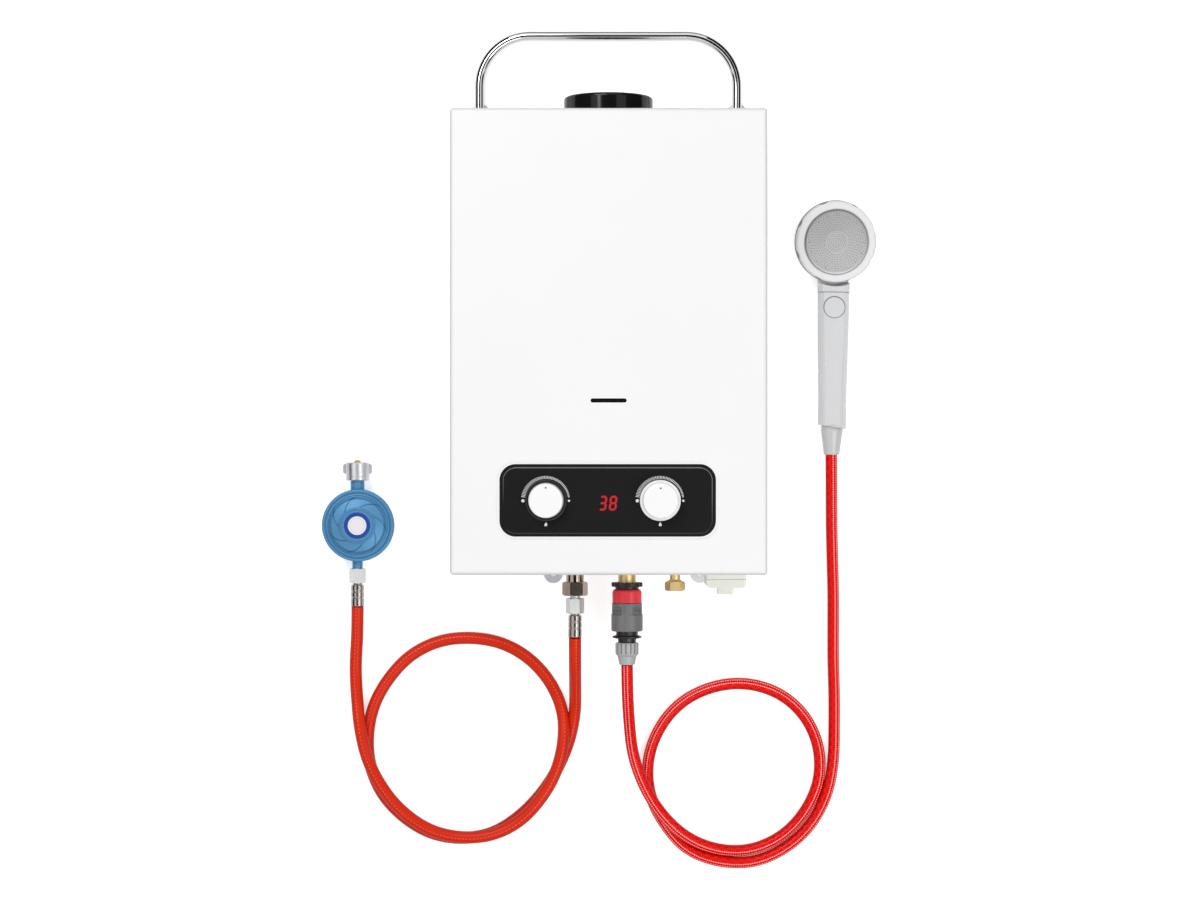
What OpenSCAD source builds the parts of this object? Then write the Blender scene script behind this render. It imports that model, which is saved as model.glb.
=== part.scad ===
// Portable gas water heater, laid on its back with its gas line and shower line beside it.
// X runs across the casing, Y from the fittings to the carry handle, Z from the back to the front.
// The origin is the middle of the back face. The lower edge stays put when the casing grows.

/* [Casing] */
// casing width, mm
casing_w = 320; // [290:1:340]
// casing height, mm
casing_h = 470; // [450:1:500]
// casing depth, mm
casing_d = 130; // [126:1:150]
// sheet thickness, mm
sheet = 1.2; // [0.8:0.1:1.5]
// bend radius of the casing edges, mm
edge_r = 4; // [3:0.5:6]
// viewing slot length, mm
slot_w = 36.4; // [30:0.2:44]
// viewing slot height, mm
slot_h = 4.2; // [3:0.1:6]

/* [Handle] */
// diameter of the carry handle tube, mm
handle_tube = 10; // [8:0.5:12]
// distance between the handle legs, mm
handle_span = 271; // [240:1:275]
// height of the handle bar above the casing, mm
handle_rise = 91.5; // [85:0.5:105]
// bend radius of the handle, mm
handle_bend = 53; // [35:1:58]

/* [Flue] */
// diameter of the flue cap, mm
cap_d = 91.7; // [84:0.1:98]
// height of the flue cap, mm
cap_h = 18.6; // [14:0.1:22]

/* [Control panel] */
// panel width, mm
panel_w = 217.2; // [205:0.2:230]
// panel height, mm
panel_h = 72.6; // [66:0.2:78]
// panel corner radius, mm
panel_r = 16; // [8:0.5:20]
// gas knob diameter, mm
gas_knob_d = 34.2; // [28:0.1:36]
// water knob skirt diameter, mm
water_knob_d = 41.2; // [36:0.1:42]
// spindle diameter, mm
spindle_d = 6; // [5:0.1:7]

/* [Lines] */
// outer diameter of the gas hose, mm
gas_hose_d = 12.8; // [11:0.1:13]
// outer diameter of the shower hose, mm
shower_hose_d = 12.2; // [11:0.1:12.4]
// diameter of the regulator disc, mm
reg_d = 75.6; // [70:0.1:82]
// diameter of the shower head, mm
head_d = 86; // [78:0.5:92]

/* [Fits] */
// radial running clearance of turning shafts, mm
run_fit = 0.06; // [0.03:0.01:0.1]
// gap between separate panels, mm
panel_gap = 0.3; // [0.2:0.05:0.4]

/* [Hidden] */
$fn = 64;
yb = -235;                      // lower edge of the casing
yt = yb + casing_h;             // upper edge of the casing
hw = casing_w / 2;
zf = casing_d;                  // front face
iw = hw - sheet - panel_gap;    // inner half width
pc = [-0.9, -159.8];            // middle of the control panel
fx = [-34.4, 19.2, 68.6];       // gas inlet, hot outlet, cold inlet
fz = 65;                        // height of the fittings
gk = [-62.9, -159.8];
wk = [51.9, -159.8];
zp = zf + 2.2;                  // face of the control panel
hz = sheet + 2 + 0.3 + handle_tube / 2;   // handle pivot height
hy = yt + 8;                    // handle pivot
ears = [-57.8, 96.7];
rc = [-261.7, -188];            // regulator
rz = 17;
bx = 120.3;                     // battery box
hsz = 17;

// ---- shared shapes ----

// rounded rectangle made from squares and circles
module rr2(w, h, r) {
  union() {
    square([w - 2 * r, h], center = true);
    square([w, h - 2 * r], center = true);
    for (x = [-1, 1], y = [-1, 1]) translate([x * (w / 2 - r), y * (h / 2 - r)]) circle(r);
  }
}
// rounded block: centre x y, from z0 to z1
module rblock(x, y, w, h, r, z0, z1) {
  translate([x, y, z0]) linear_extrude(z1 - z0) rr2(w, h, r);
}
// box by its corners
module bx3(a, b) { translate(a) cube(b - a); }
// rod along Y from y0 to y1
module yrod(x, y0, y1, z, r) { translate([x, y0, z]) rotate([-90, 0, 0]) cylinder(r = r, h = y1 - y0); }
module xrod(x0, x1, y, z, r) { translate([x0, y, z]) rotate([0, 90, 0]) cylinder(r = r, h = x1 - x0); }
module zrod(x, y, z0, z1, r) { translate([x, y, z0]) cylinder(r = r, h = z1 - z0); }
// body turned about an axis that runs down from y: points are [radius, distance below y]
module turned(x, y, z, pts) { translate([x, y, z]) rotate([90, 0, 0]) rotate_extrude() polygon(pts); }
// body turned about an upright axis
module spun(x, y, z, pts) { translate([x, y, z]) rotate_extrude() polygon(pts); }
function arcp(cx, cy, r, a0, a1, n) = [for (i = [0:n]) let (a = a0 + (a1 - a0) * i / n) [cx + r * cos(a), cy + r * sin(a)]];
// hexagon nut along Y with chamfered ends and a bore
module hexnut(x, y0, y1, z, af, rb, turn = 0) {
  h = y1 - y0; rcn = af / 2 / cos(30); c = rcn - af / 2;
  difference() {
    intersection() {
      translate([x, y0, z]) rotate([-90, 0, 0]) rotate([0, 0, turn]) cylinder(r = rcn, h = h, $fn = 6);
      turned(x, y1, z, [[0, 0], [af / 2, 0], [rcn, c * 0.7], [rcn, h - c * 0.7], [af / 2, h], [0, h]]);
    }
    yrod(x, y0 - 1, y1 + 1, z, rb);
  }
}
// tube swept along a list of points, drawn with flat facets
function unit(v) = v / norm(v);
function tang(p, i) = unit(p[min(i + 1, len(p) - 1)] - p[max(i - 1, 0)]);
module hose(p, r, n) {
  m = len(p);
  pts = [for (i = [0:m - 1]) let (t = i == 0 || i == m - 1 ? [0, i == 0 ? -1 : 1, 0] : tang(p, i),
      u = unit(cross(t, [0, 0, 1])), v = cross(u, t))
      for (j = [0:n - 1]) p[i] + r * (cos(360 * j / n) * u + sin(360 * j / n) * v)];
  polyhedron(points = pts, faces = concat(
    [[for (j = [0:n - 1]) j]], [[for (j = [n - 1:-1:0]) (m - 1) * n + j]],
    [for (i = [0:m - 2], j = [0:n - 1]) [i * n + j, (i + 1) * n + j, (i + 1) * n + (j + 1) % n, i * n + (j + 1) % n]]),
    convexity = 12);
}
gas_route = [
  [-263, -273, 17], [-264, -305, 10.5], [-266, -338, 7], [-264, -371, 10.5], [-260, -402, 18.5],
  [-252, -434, 20], [-237, -463, 20], [-216, -488, 20], [-188, -507, 20], [-157, -515, 20],
  [-124, -513, 20], [-94, -499, 20], [-71, -475, 20], [-55, -447, 20], [-47, -415, 19],
  [-48, -384, 10.5], [-61, -354, 6.5], [-83, -329, 6.5], [-111, -313, 6.5], [-143, -307, 6.5],
  [-176, -310, 6.5], [-206, -324, 6.5], [-229, -347, 6.5], [-246, -376, 6.5], [-253, -408, 6.5],
  [-251, -440, 6.5], [-238, -471, 6.5], [-216, -495, 6.5], [-188, -512, 6.5], [-156, -518, 6.5],
  [-123, -513, 6.5], [-95, -496, 6.5], [-72, -473, 6.5], [-54, -446, 6.5], [-41, -415, 7],
  [-35, -384, 13], [-34.4, -357, 32], [-34.4, -332, 53], [-34.4, -302, 65]];
shower_route = [
  [19.2, -330, 65], [20, -364, 54], [22, -395, 36], [26, -428, 22.5], [38, -462, 19],
  [57, -492, 19], [83, -516, 15], [116, -530, 6.5], [151, -530, 6.3], [184, -515, 6.3],
  [208, -489, 6.3], [222, -456, 6.3], [221, -420, 6.3], [206, -388, 6.3], [179, -365, 6.3],
  [144, -355, 6.3], [109, -359, 6.3], [77, -375, 6.3], [54, -402, 6.3], [42, -436, 6.3],
  [44, -472, 6.3], [60, -504, 6.3], [84, -530, 6.3], [118, -542.5, 6.3], [154, -542.5, 6.3],
  [187, -528, 6.3], [213, -504, 6.3], [230, -472, 6.3], [237, -437, 6.3], [238, -401, 6.3],
  [238, -365, 6.3], [237, -330, 6.3], [237, -294, 6.3], [237, -258, 6.3], [236, -222, 7],
  [235, -186, 10], [234.4, -150, 15], [234, -114, 17]];
// distance from a point to a stretch of a route
function off(p, a, b) = let (t = max(0, min(1, (p - a) * (b - a) / ((b - a) * (b - a))))) norm(p - a - t * (b - a));
// least gap of a hose to itself, on five points of each stretch against all stretches but its neighbours
function self_gap(p, d) = min([for (i = [0:len(p) - 2], k = [0:4], j = [0:len(p) - 2]) if (abs(i - j) > 4)
  off(p[i] + (p[i + 1] - p[i]) * k / 5, p[j], p[j + 1])]) - d;
echo(gas_hose_gap = self_gap(gas_route, gas_hose_d), shower_hose_gap = self_gap(shower_route, shower_hose_d));

// ---- casing ----

// galvanised tray behind everything, with ears, lugs and keyholes
module back_panel() {
  color("silver") difference() {
    union() {
      bx3([-iw, yb + 1.8, 0], [iw, yt - sheet - panel_gap, sheet]);
      for (s = [-1, 1]) bx3([s > 0 ? iw - sheet : -iw, yb + 1.8, 0], [s > 0 ? iw : sheet - iw, yt - sheet - panel_gap, 14]);
      bx3([-iw, yb + 1.8, 0], [iw, yb + 1.8 + sheet, 14]);
      bx3([-iw, yt - 2 * sheet - panel_gap, 0], [iw, yt - sheet - panel_gap, 14]);
      for (x = ears) { zrod(x, -239.7, 0, sheet, 10); bx3([x - 10, -239.7, 0], [x + 10, yb + 3, sheet]); }
      for (s = [-1, 1]) translate([s * handle_span / 2, 0, 0]) {
        bx3([-13, yt - 6, 0], [13, hy, sheet]); zrod(0, hy, 0, sheet, 13);
      }
    }
    for (x = ears) zrod(x, -239.7, -1, sheet + 1, 2.75);
    // keyholes for hanging
    for (s = [-1, 1]) translate([s * 100, yt - 60, -1]) {
      cylinder(r = 6, h = sheet + 2);
      translate([-3, 0, 0]) cube([6, 12, sheet + 2]);
      translate([0, 12, 0]) cylinder(r = 3, h = sheet + 2);
    }
    // air slots low on the back
    for (i = [-4:4]) rblock(i * 16, -95, 6, 44, 2.9, -1, sheet + 1);
  }
}

// white cover with rounded edges: front, two sides, top and a short return below
module front_cover() {
  r = edge_r; w = casing_w; h = casing_h; ym = (yb + yt) / 2; z0 = 0.3;
  color("white") difference() {
    intersection() {
      rblock(0, ym, w, h, r, z0, zf);
      translate([0, yt, 0]) rotate([90, 0, 0]) linear_extrude(h) union() {
        translate([-hw, z0]) square([w, zf - z0 - r]);
        translate([r - hw, z0]) square([w - 2 * r, zf - z0]);
        for (s = [-1, 1]) translate([s * (hw - r), zf - r]) circle(r);
      }
      translate([-hw, 0, 0]) rotate([90, 0, 90]) linear_extrude(w) union() {
        translate([yb, z0]) square([h, zf - z0 - r]);
        translate([yb + r, z0]) square([h - 2 * r, zf - z0]);
        for (y = [yb + r, yt - r]) translate([y, zf - r]) circle(r);
      }
    }
    bx3([sheet - hw, yb + sheet, 0], [hw - sheet, yt - sheet, zf - sheet]);
    bx3([sheet - hw, yb - 1, 0], [hw - sheet, yb + sheet + 1, zf - 14]);
    // viewing slot, panel cut-out and flue hole
    rblock(0, -59.4, slot_w, slot_h, slot_h / 2 - 0.01, zf - 4, zf + 1);
    rblock(pc[0], pc[1], panel_w - 8, panel_h - 8, panel_r - 4, zf - 4, zf + 1);
    yrod(0, yt - 3, yt + 1, fz, 37);
    // notches for the lugs
    for (s = [-1, 1]) bx3([s * handle_span / 2 - 13.5, yt - 3, 0], [s * handle_span / 2 + 13.5, yt + 1, sheet + 0.3]);
    // air louvres on both sides and above
    for (i = [0:6]) for (s = [-1, 1]) translate([s * hw, -200 + i * 13, 65]) rotate([0, 90, 0])
      translate([0, 0, -3]) linear_extrude(6) rr2(60, 5, 2.4);
    // cover screw holes
    for (s = [-1, 1], y = [yb + 60, yt - 60]) xrod(s > 0 ? hw - 3 : -hw - 1, s > 0 ? hw + 1 : 3 - hw, y, 8, 1.8);
  }
}

// underside with holes for the fittings and the battery box
module bottom_plate() {
  color("gainsboro") difference() {
    union() {
      bx3([-iw, yb, sheet + 0.3], [iw, yb + sheet, zf - 14.3]);
      bx3([-iw, yb, zf - 14.3 - sheet], [iw, yb + 10, zf - 14.3]);
    }
    yrod(fx[0], yb - 1, yb + 3, fz, 9.4);
    yrod(fx[1], yb - 1, yb + 3, fz, 9.3);
    yrod(fx[2], yb - 1, yb + 3, fz, 5.7);
    bx3([bx - 19.4, yb - 1, fz - 19.4], [bx + 19.4, yb + 3, fz + 19.4]);
    for (i = [0:5]) translate([-130 + i * 14, yb, 65]) rotate([90, 0, 0]) translate([0, 0, -3]) linear_extrude(6) rr2(5, 50, 2.4);
  }
}

// pan head screws: four along the sides, two in the lower ears' tray
module casing_screws() {
  color("silver") for (s = [-1, 1], y = [yb + 60, yt - 60]) {
    translate([s * hw, y, 8]) rotate([0, s * 90, 0]) difference() {
      union() {
        rotate_extrude() polygon(concat([[0, 0.02], [3.6, 0.02]], arcp(2.2, 0.82, 1.4, 0, 90, 6), [[0, 2.22]]));
        translate([0, 0, -sheet - panel_gap]) cylinder(r = 1.75, h = sheet + panel_gap + 0.3);
      }
      for (a = [0, 90]) rotate([0, 0, a]) translate([-2, -0.45, 1.3]) cube([4, 0.9, 2]);
    }
  }
}

// chrome tube bail
module handle() {
  r = handle_tube / 2; R = handle_bend; w = handle_span / 2; yb1 = yt + handle_rise;
  color("lightgray") difference() {
    union() {
      xrod(R - w, w - R, yb1, hz, r);
      for (s = [-1, 1]) {
        yrod(s * w, hy, yb1 - R, hz, r);
        translate([s * w, hy, hz]) sphere(r);
        translate([s * (w - R), yb1 - R, hz]) rotate([0, 0, s > 0 ? 0 : 90]) rotate_extrude(angle = 90) translate([R, 0]) circle(r);
      }
    }
    for (s = [-1, 1]) xrod(s * w - r - 1, s * w + r + 1, hy, hz, 2.5 + run_fit);
  }
}
// clevises on the lugs, open upward so the bail folds over the cap
module handle_brackets() {
  r = handle_tube / 2; c = r + panel_gap; w = handle_span / 2;
  color("silver") for (s = [-1, 1]) translate([s * w, 0, 0]) difference() {
    union() {
      bx3([-c - 2, hy - 6.6, sheet], [c + 2, hy + 7, sheet + 2]);
      for (t = [-1, 1]) translate([t > 0 ? c : -c - 2, 0, 0]) {
        bx3([0, hy - 6.6, sheet + 1], [2, hy + 7, hz]);
        xrod(0, 2, hy, hz, 6);
      }
    }
    xrod(-20, 20, hy, hz, 2.5);
  }
}
module handle_pins() {
  c = handle_tube / 2 + panel_gap; w = handle_span / 2;
  color("gray") for (s = [-1, 1]) {
    xrod(s * w - c - 2.02, s * w + c + 2.02, hy, hz, 2.5);
    for (t = [-1, 1]) translate([s * w + t * (c + 2.02), hy, hz]) rotate([0, t * 90, 0])
      rotate_extrude() polygon(concat([[0, 0], [4.2, 0], [4.2, 0.5]], arcp(3, 0.5, 1.2, 0, 90, 5), [[0, 1.7]]));
  }
}

// black drum with an exhaust grille on top
module flue_cap() {
  r = cap_d / 2; y0 = yt + 0.1; h = cap_h;
  color("#151515") translate([0, y0, fz]) rotate([-90, 0, 0]) difference() {
    rotate_extrude() polygon(concat([[0, 0], [r - 1, 0], [r, 1]], arcp(r - 3, h - 3, 3, 0, 90, 8), [[0, h]]));
    translate([0, 0, -1]) cylinder(r = r - 4, h = h - 1.5);
    // two rings of exhaust slots
    for (a = [0:20:340]) rotate([0, 0, a]) translate([0, 0, h - 4]) linear_extrude(6) translate([31, 0]) rr2(14, 6, 2.9);
    for (a = [0:36:324]) rotate([0, 0, a]) translate([0, 0, h - 4]) linear_extrude(6) translate([16, 0]) rr2(9, 4.4, 2.1);
  }
}

// ---- combustion parts ----
ex = [80, -60, 118, 20, 108];   // half width, lower and upper edge, back and front
// hood above the exchanger and the round duct to the cap
module flue_hood() {
  color("silver") difference() {
    union() {
      bx3([-82, ex[2] - 6, ex[3] - 2], [82, 160, ex[4] + 2]);
      yrod(0, 158, yt + 0.05, fz, 36.5);
    }
    bx3([-80.8, ex[2] - 7, ex[3] - 0.8], [80.8, 158.8, ex[4] + 0.8]);
    yrod(0, 150, yt + 2, fz, 35.5);
  }
}
module exchanger_shell() {
  color("#b87333") difference() {
    bx3([-ex[0], ex[1], ex[3]], [ex[0], ex[2], ex[4]]);
    bx3([1 - ex[0], ex[1] - 1, ex[3] + 1], [ex[0] - 1, ex[2] + 1, ex[4] - 1]);
    for (z = tz) xrod(-100, 100, 96, z, 6.05);
    rblock(0, -50, 44, 12, 4, ex[4] - 4, ex[4] + 2);
  }
}
tz = [32, 54, 76, 98];
module exchanger_fins() {
  color("#b87333") difference() {
    for (i = [-9:9]) bx3([i * 8 - 0.4, 82, 22], [i * 8 + 0.4, 110, 106]);
    for (z = tz) xrod(-90, 90, 96, z, 6.05);
  }
}
// four straight runs joined by bends outside the shell, with the hot and cold tails
module water_coil() {
  color("#c87a45") difference() { coil_run(6); coil_run(5); }
}
module coil_run(r) {
  union() {
    for (z = tz) xrod(-84, 84, 96, z, r);
    for (q = [[84, 43, 0], [-84, 65, 180], [84, 87, 0]]) translate([q[0], 96, q[1]]) rotate([90, 0, 0]) rotate_extrude(angle = 180, start = q[2] - 90) translate([11, 0]) circle(r);
    // cold tail: out at the left end of the rear run, down to the water valve
    translate([-84, 80, 32]) rotate_extrude(angle = 90, start = 90) translate([16, 0]) circle(r);
    yrod(-100, -60, 80, 32, r);
    translate([-84, -60, 32]) rotate_extrude(angle = 90, start = 180) translate([16, 0]) circle(r);
    xrod(-84, 44, -76, 32, r);
    translate([44, -92, 32]) rotate_extrude(angle = 90) translate([16, 0]) circle(r);
    yrod(60, -152, -92, 32, r);
    // hot tail: out at the left end of the front run, over the middle to the hot outlet
    translate([-84, 80, 98]) rotate_extrude(angle = 90, start = 90) translate([16, 0]) circle(r);
    yrod(-100, -86, 80, 98, r);
    translate([-84, -86, 98]) rotate_extrude(angle = 90, start = 180) translate([16, 0]) circle(r);
    xrod(-84, fx[1] - 16, -102, 98, r);
    translate([fx[1] - 16, -118, 98]) rotate_extrude(angle = 90) translate([16, 0]) circle(r);
    yrod(fx[1], -185, -118, 98, r);
    translate([fx[1], -185, 81.5]) rotate([0, -90, 0]) rotate_extrude(angle = 90, start = 270) translate([16.5, 0]) circle(r);
    translate([fx[1], -218, 81.5]) rotate([0, -90, 0]) rotate_extrude(angle = 90, start = 90) translate([16.5, 0]) circle(r);
    yrod(fx[1], -224, -218, 65, r);
  }
}
module burner_frame() {
  color("silver") difference() {
    union() {
      bx3([-80, -132, 40], [80, -60, 90]);
      for (s = [-1, 1]) bx3([s > 0 ? 78.8 : -80, -125, sheet], [s > 0 ? 80 : -78.8, -95, 41]);
    }
    bx3([-78.8, -130.8, 41.2], [78.8, -59, 88.8]);
    for (i = [0:7]) yrod(-63 + 18 * i, -134, -130, fz, 5);
    // window in front of the flames
    rblock(0, -70, 60, 12, 4, 85, 95);
  }
}
module burner_bars() {
  color("lightgray") difference() {
    union() for (i = [0:7]) translate([-63 + 18 * i, -130.75, fz]) rotate([-90, 0, 0]) {
      linear_extrude(52) rr2(11, 42, 5);
      linear_extrude(56) rr2(8, 40, 3.9);
    }
    for (k = [-6:6]) bx3([-70, -79, fz + k * 3 - 0.6], [70, -74, fz + k * 3 + 0.6]);
    for (i = [0:7]) yrod(-63 + 18 * i, -131, -112, fz, 3.5);
    for (i = [0:7]) translate([-63 + 18 * i, -129.75, fz]) rotate([-90, 0, 0]) linear_extrude(54) rr2(6, 38, 2.9);
  }
}
module gas_manifold() {
  color("goldenrod") {
    xrod(-72, 72, -141, fz, 6);
    for (i = [0:7]) turned(-63 + 18 * i, -131.5, fz, [[0, 0], [1.2, 0], [2.6, 2], [2.6, 7], [0, 7]]);
    for (s = [-1, 1]) {
      bx3([s > 0 ? 70 : -72, -147, sheet], [s > 0 ? 72 : -70, -135, fz]);
    }
  }
}
// two spark electrodes and a flame probe on one bracket
module electrodes() {
  color("white") {
    for (x = [36, 48, 60]) {
      turned(x, -74, 97, [[0, 0], [2.2, 0], [3, 1], [3, 16], [4, 17], [4, 21], [3, 22], [3, 30], [0, 30]]);
      yrod(x, -75, -63, 97, 0.9);
    }
    bx3([30, -94, 90], [66, -92.8, 101]);
  }
}
module spark_igniter() {
  color("#303030") difference() {
    union() {
      rblock(30 - hw, -168, 40, 72, 4, sheet, 38);
      rblock(30 - hw, -168, 52, 14, 5, sheet, sheet + 3);
      for (x = [-12, 0, 12]) zrod(30 - hw + x, -150, 37, 46, 3.5);
    }
    for (x = [-22.6, 22.6]) zrod(30 - hw + x, -168, 0, 6, 2);
  }
}
module gas_valve() {
  color("silver") difference() {
    union() {
      rblock(-60, -183, 70, 62, 6, 44, 84);
      zrod(gk[0], gk[1], 80, 95, 15);
      rblock(-40, -196, 24, 28, 3, 83, 99);
      for (x = [-88, -36]) bx3([x, -200, sheet], [x + 3, -170, 45]);
      turned(-60, -150, fz, [[0, 0], [9, 0], [9, 5], [0, 5]]);
    }
    zrod(gk[0], gk[1], 84, 96, spindle_d / 2 + run_fit);
    yrod(fx[0], -216, -196, fz, 5);
    rblock(-60, -183, 58, 50, 4, 50, 78);
  }
}
module water_valve() {
  color("goldenrod") difference() {
    union() {
      rblock(66, -184, 60, 60, 8, 48, 82);
      spun(66, -184, 0, [[0, 30], [24, 30], [27, 33], [27, 49], [0, 49]]);
      zrod(wk[0], wk[1], 80, 95, 12);
      zrod(66, -184, sheet, 31, 9);
      translate([60, -160, 32]) rotate([-90, 0, 0]) cylinder(r = 9, h = 8);
      bx3([52, -170, 26], [68, -157, 50]);
    }
    zrod(wk[0], wk[1], 84, 96, spindle_d / 2 + run_fit);
    for (a = [0:60:300]) zrod(66 + 22 * cos(a), -184 + 22 * sin(a), 29, 36, 1.6);
    rblock(66, -184, 50, 50, 6, 53, 77);
    zrod(66, -184, 35, 54, 18);
  }
}
module spindle(p) {
  color("silver") difference() {
    zrod(p[0], p[1], 84.3, zp + 14, spindle_d / 2);
    bx3([p[0] - 5, p[1] + spindle_d / 2 - 1.2, zp + 2], [p[0] + 5, p[1] + 5, zp + 15]);
  }
}
module gas_spindle() { spindle(gk); }
module water_spindle() { spindle(wk); }
module gas_pipe() {
  color("silver") difference() {
    turned(-60, -147.2, fz, [[0, 0], [5, 0], [5, 1], [8, 1.1], [8, 2.75], [0, 2.75]]);
    yrod(-60, -160, -140, fz, 3);
  }
}
module control_board() {
  color("darkgreen") difference() {
    union() {
      bx3([-38, -192, 112], [34, -128, 113.6]);
      for (x = [-34, 30], y = [-188, -132]) zrod(x, y, 113.5, zf - 2, 3);
      bx3([-24, -186, 106], [-6, -168, 112.1]);
      bx3([2, -150, 107], [26, -138, 112.1]);
      zrod(-18, -144, 102, 112.1, 5);
      zrod(2, -178, 104, 112.1, 6);
    }
    for (x = [-34, 30], y = [-188, -132]) zrod(x, y, 110, 120, 1.4);
  }
}

// ---- front ----
module window_lens() {
  color("#101010") rblock(0, -59.4, slot_w + 12, slot_h + 12, 4, zf - sheet - 2, zf - sheet);
}
// thin white lip round the control panel
module panel_frame() {
  color("white") difference() {
    rblock(pc[0], pc[1], panel_w + 4.4, panel_h + 4.4, panel_r + 2.2, zf, zf + 1.3);
    rblock(pc[0], pc[1], panel_w + 0.3, panel_h + 0.3, panel_r + 0.15, zf - 1, zf + 2);
  }
}
// gloss black panel with a bevelled edge
module control_fascia() {
  color("#0c0c0e") difference() {
    union() {
      rblock(pc[0], pc[1], panel_w, panel_h, panel_r, zf, zp - 0.7);
      rblock(pc[0], pc[1], panel_w - 8.6, panel_h - 8.6, panel_r - 4.3, zf - 2, zf + 0.1);
      hull() {
        rblock(pc[0], pc[1], panel_w - 5.6, panel_h - 5.6, panel_r - 2.8, zp - 0.71, zp - 0.7);
        rblock(pc[0], pc[1], panel_w - 7.2, panel_h - 7.2, panel_r - 3.6, zp - 0.01, zp);
      }
    }
    for (p = [gk, wk]) zrod(p[0], p[1], zf - 4, zp + 1, spindle_d / 2 + 1);
    rblock(pc[0], pc[1], 26, 22, 2, zf - 3, zf + 1);
  }
}
// seven segment figures, two digits leaning to the right
seg = [[0, 1, 1, 0, 1, 1, 1], [1, 1, 1, 1, 1, 1, 1]];
module segment(l, t, v) {
  c = t / 2;
  if (v) polygon([[c, c], [0, 2 * c], [0, l - 2 * c], [c, l - c], [t, l - 2 * c], [t, 2 * c]]);
  else polygon([[c, c], [2 * c, 0], [l - 2 * c, 0], [l - c, c], [l - 2 * c, t], [2 * c, t]]);
}
module display_digits() {
  dw = 7.8; dh = 15; t = 2.2;
  color("red") for (d = [0, 1]) translate([pc[0] - 9.4 + d * 10.2, -170.1, zp]) linear_extrude(0.2)
    multmatrix([[1, 0.1, 0, 0], [0, 1, 0, 0], [0, 0, 1, 0], [0, 0, 0, 1]]) {
      translate([0, 0]) segment(dw, t, false);
      translate([0, dh / 2 - t / 2]) segment(dw, t, false);
      translate([0, dh - t]) segment(dw, t, false);
      translate([dw - t, 0]) segment(dh / 2 + t / 2, t, true);
      translate([dw - t, dh / 2 - t / 2]) segment(dh / 2 + t / 2, t, true);
      if (d == 1) segment(dh / 2 + t / 2, t, true);
      if (d == 1) translate([0, dh / 2 - t / 2]) segment(dh / 2 + t / 2, t, true);
    }
}
module gas_knob_ring() {
  r1 = gas_knob_d / 2 + 1.5; r2 = r1 + 2.2;
  color("#2a2a2c") spun(gk[0], gk[1], zp, concat([[r1, 0], [r2, 0], [r2, 1.4]], arcp(r2 - 0.9, 1.4, 0.9, 0, 90, 5), [[r1 + 0.6, 2.3], [r1, 1.7]]));
}
module gas_knob() {
  r = gas_knob_d / 2; h = 19;
  color("white") difference() {
    spun(gk[0], gk[1], zp + 0.3, concat([[0, 0], [r + 0.5, 0], [r + 0.8, 0.4]], arcp(r - 2, h - 2, 2, 0, 90, 8), [[0, h]]));
    zrod(gk[0], gk[1], zp, zp + 14.2, spindle_d / 2);
    zrod(gk[0], gk[1] + 12.9, zp + h - 0.5, zp + h + 1, 0.9);
    spun(gk[0], gk[1], zp, [[6, 0], [r - 3, 0], [r - 3.6, 12], [6, 12]]);
  }
}
module water_knob() {
  r = water_knob_d / 2; c = r - 2.9; h = 19;
  color("white") difference() {
    spun(wk[0], wk[1], zp + 0.3, concat([[0, 0], [r, 0], [r, 3]], arcp(r - 1.2, 3, 1.2, 0, 90, 5), [[c + 0.9, 4.4], [c + 0.3, 5]],
      arcp(c - 2, h - 2, 2, 0, 90, 8), [[0, h]]));
    zrod(wk[0], wk[1], zp, zp + 14.2, spindle_d / 2);
    zrod(wk[0], wk[1] + 12.4, zp + h - 0.5, zp + h + 1, 0.9);
    spun(wk[0], wk[1], zp, [[6, 0], [r - 3, 0], [r - 6, 12], [6, 12]]);
  }
}

// ---- battery compartment ----
bw = 42.2;
module battery_box() {
  color("#ecebdf") difference() {
    union() {
      translate([bx, yb - 6.4, fz]) rotate([-90, 0, 0]) linear_extrude(6.3) rr2(bw, bw, 3);
      bx3([bx - 19, yb - 1, fz - 19], [bx + 19, yb + 121.2, fz + 19]);
      for (s = [-1, 1]) {
        xrod(bx + s * 14 - 2.5, bx + s * 14 + 2.5, yb - 8.6, fz - bw / 2 - 1, 2.6);
        bx3([bx + s * 14 - 2.5, yb - 8.6, fz - bw / 2 - 3.6], [bx + s * 14 + 2.5, yb - 3, fz - bw / 2 + 0.1]);
      }
    }
    yrod(bx, yb - 8, yb + 119.2, fz, 17);
    xrod(bx - 30, bx + 30, yb - 8.6, fz - bw / 2 - 1, 1.4 + run_fit);
    // snap slot for the latch
    bx3([bx - 4, yb - 7, fz + 17.9], [bx + 4, yb - 3, fz + 19.5]);
  }
}
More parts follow.
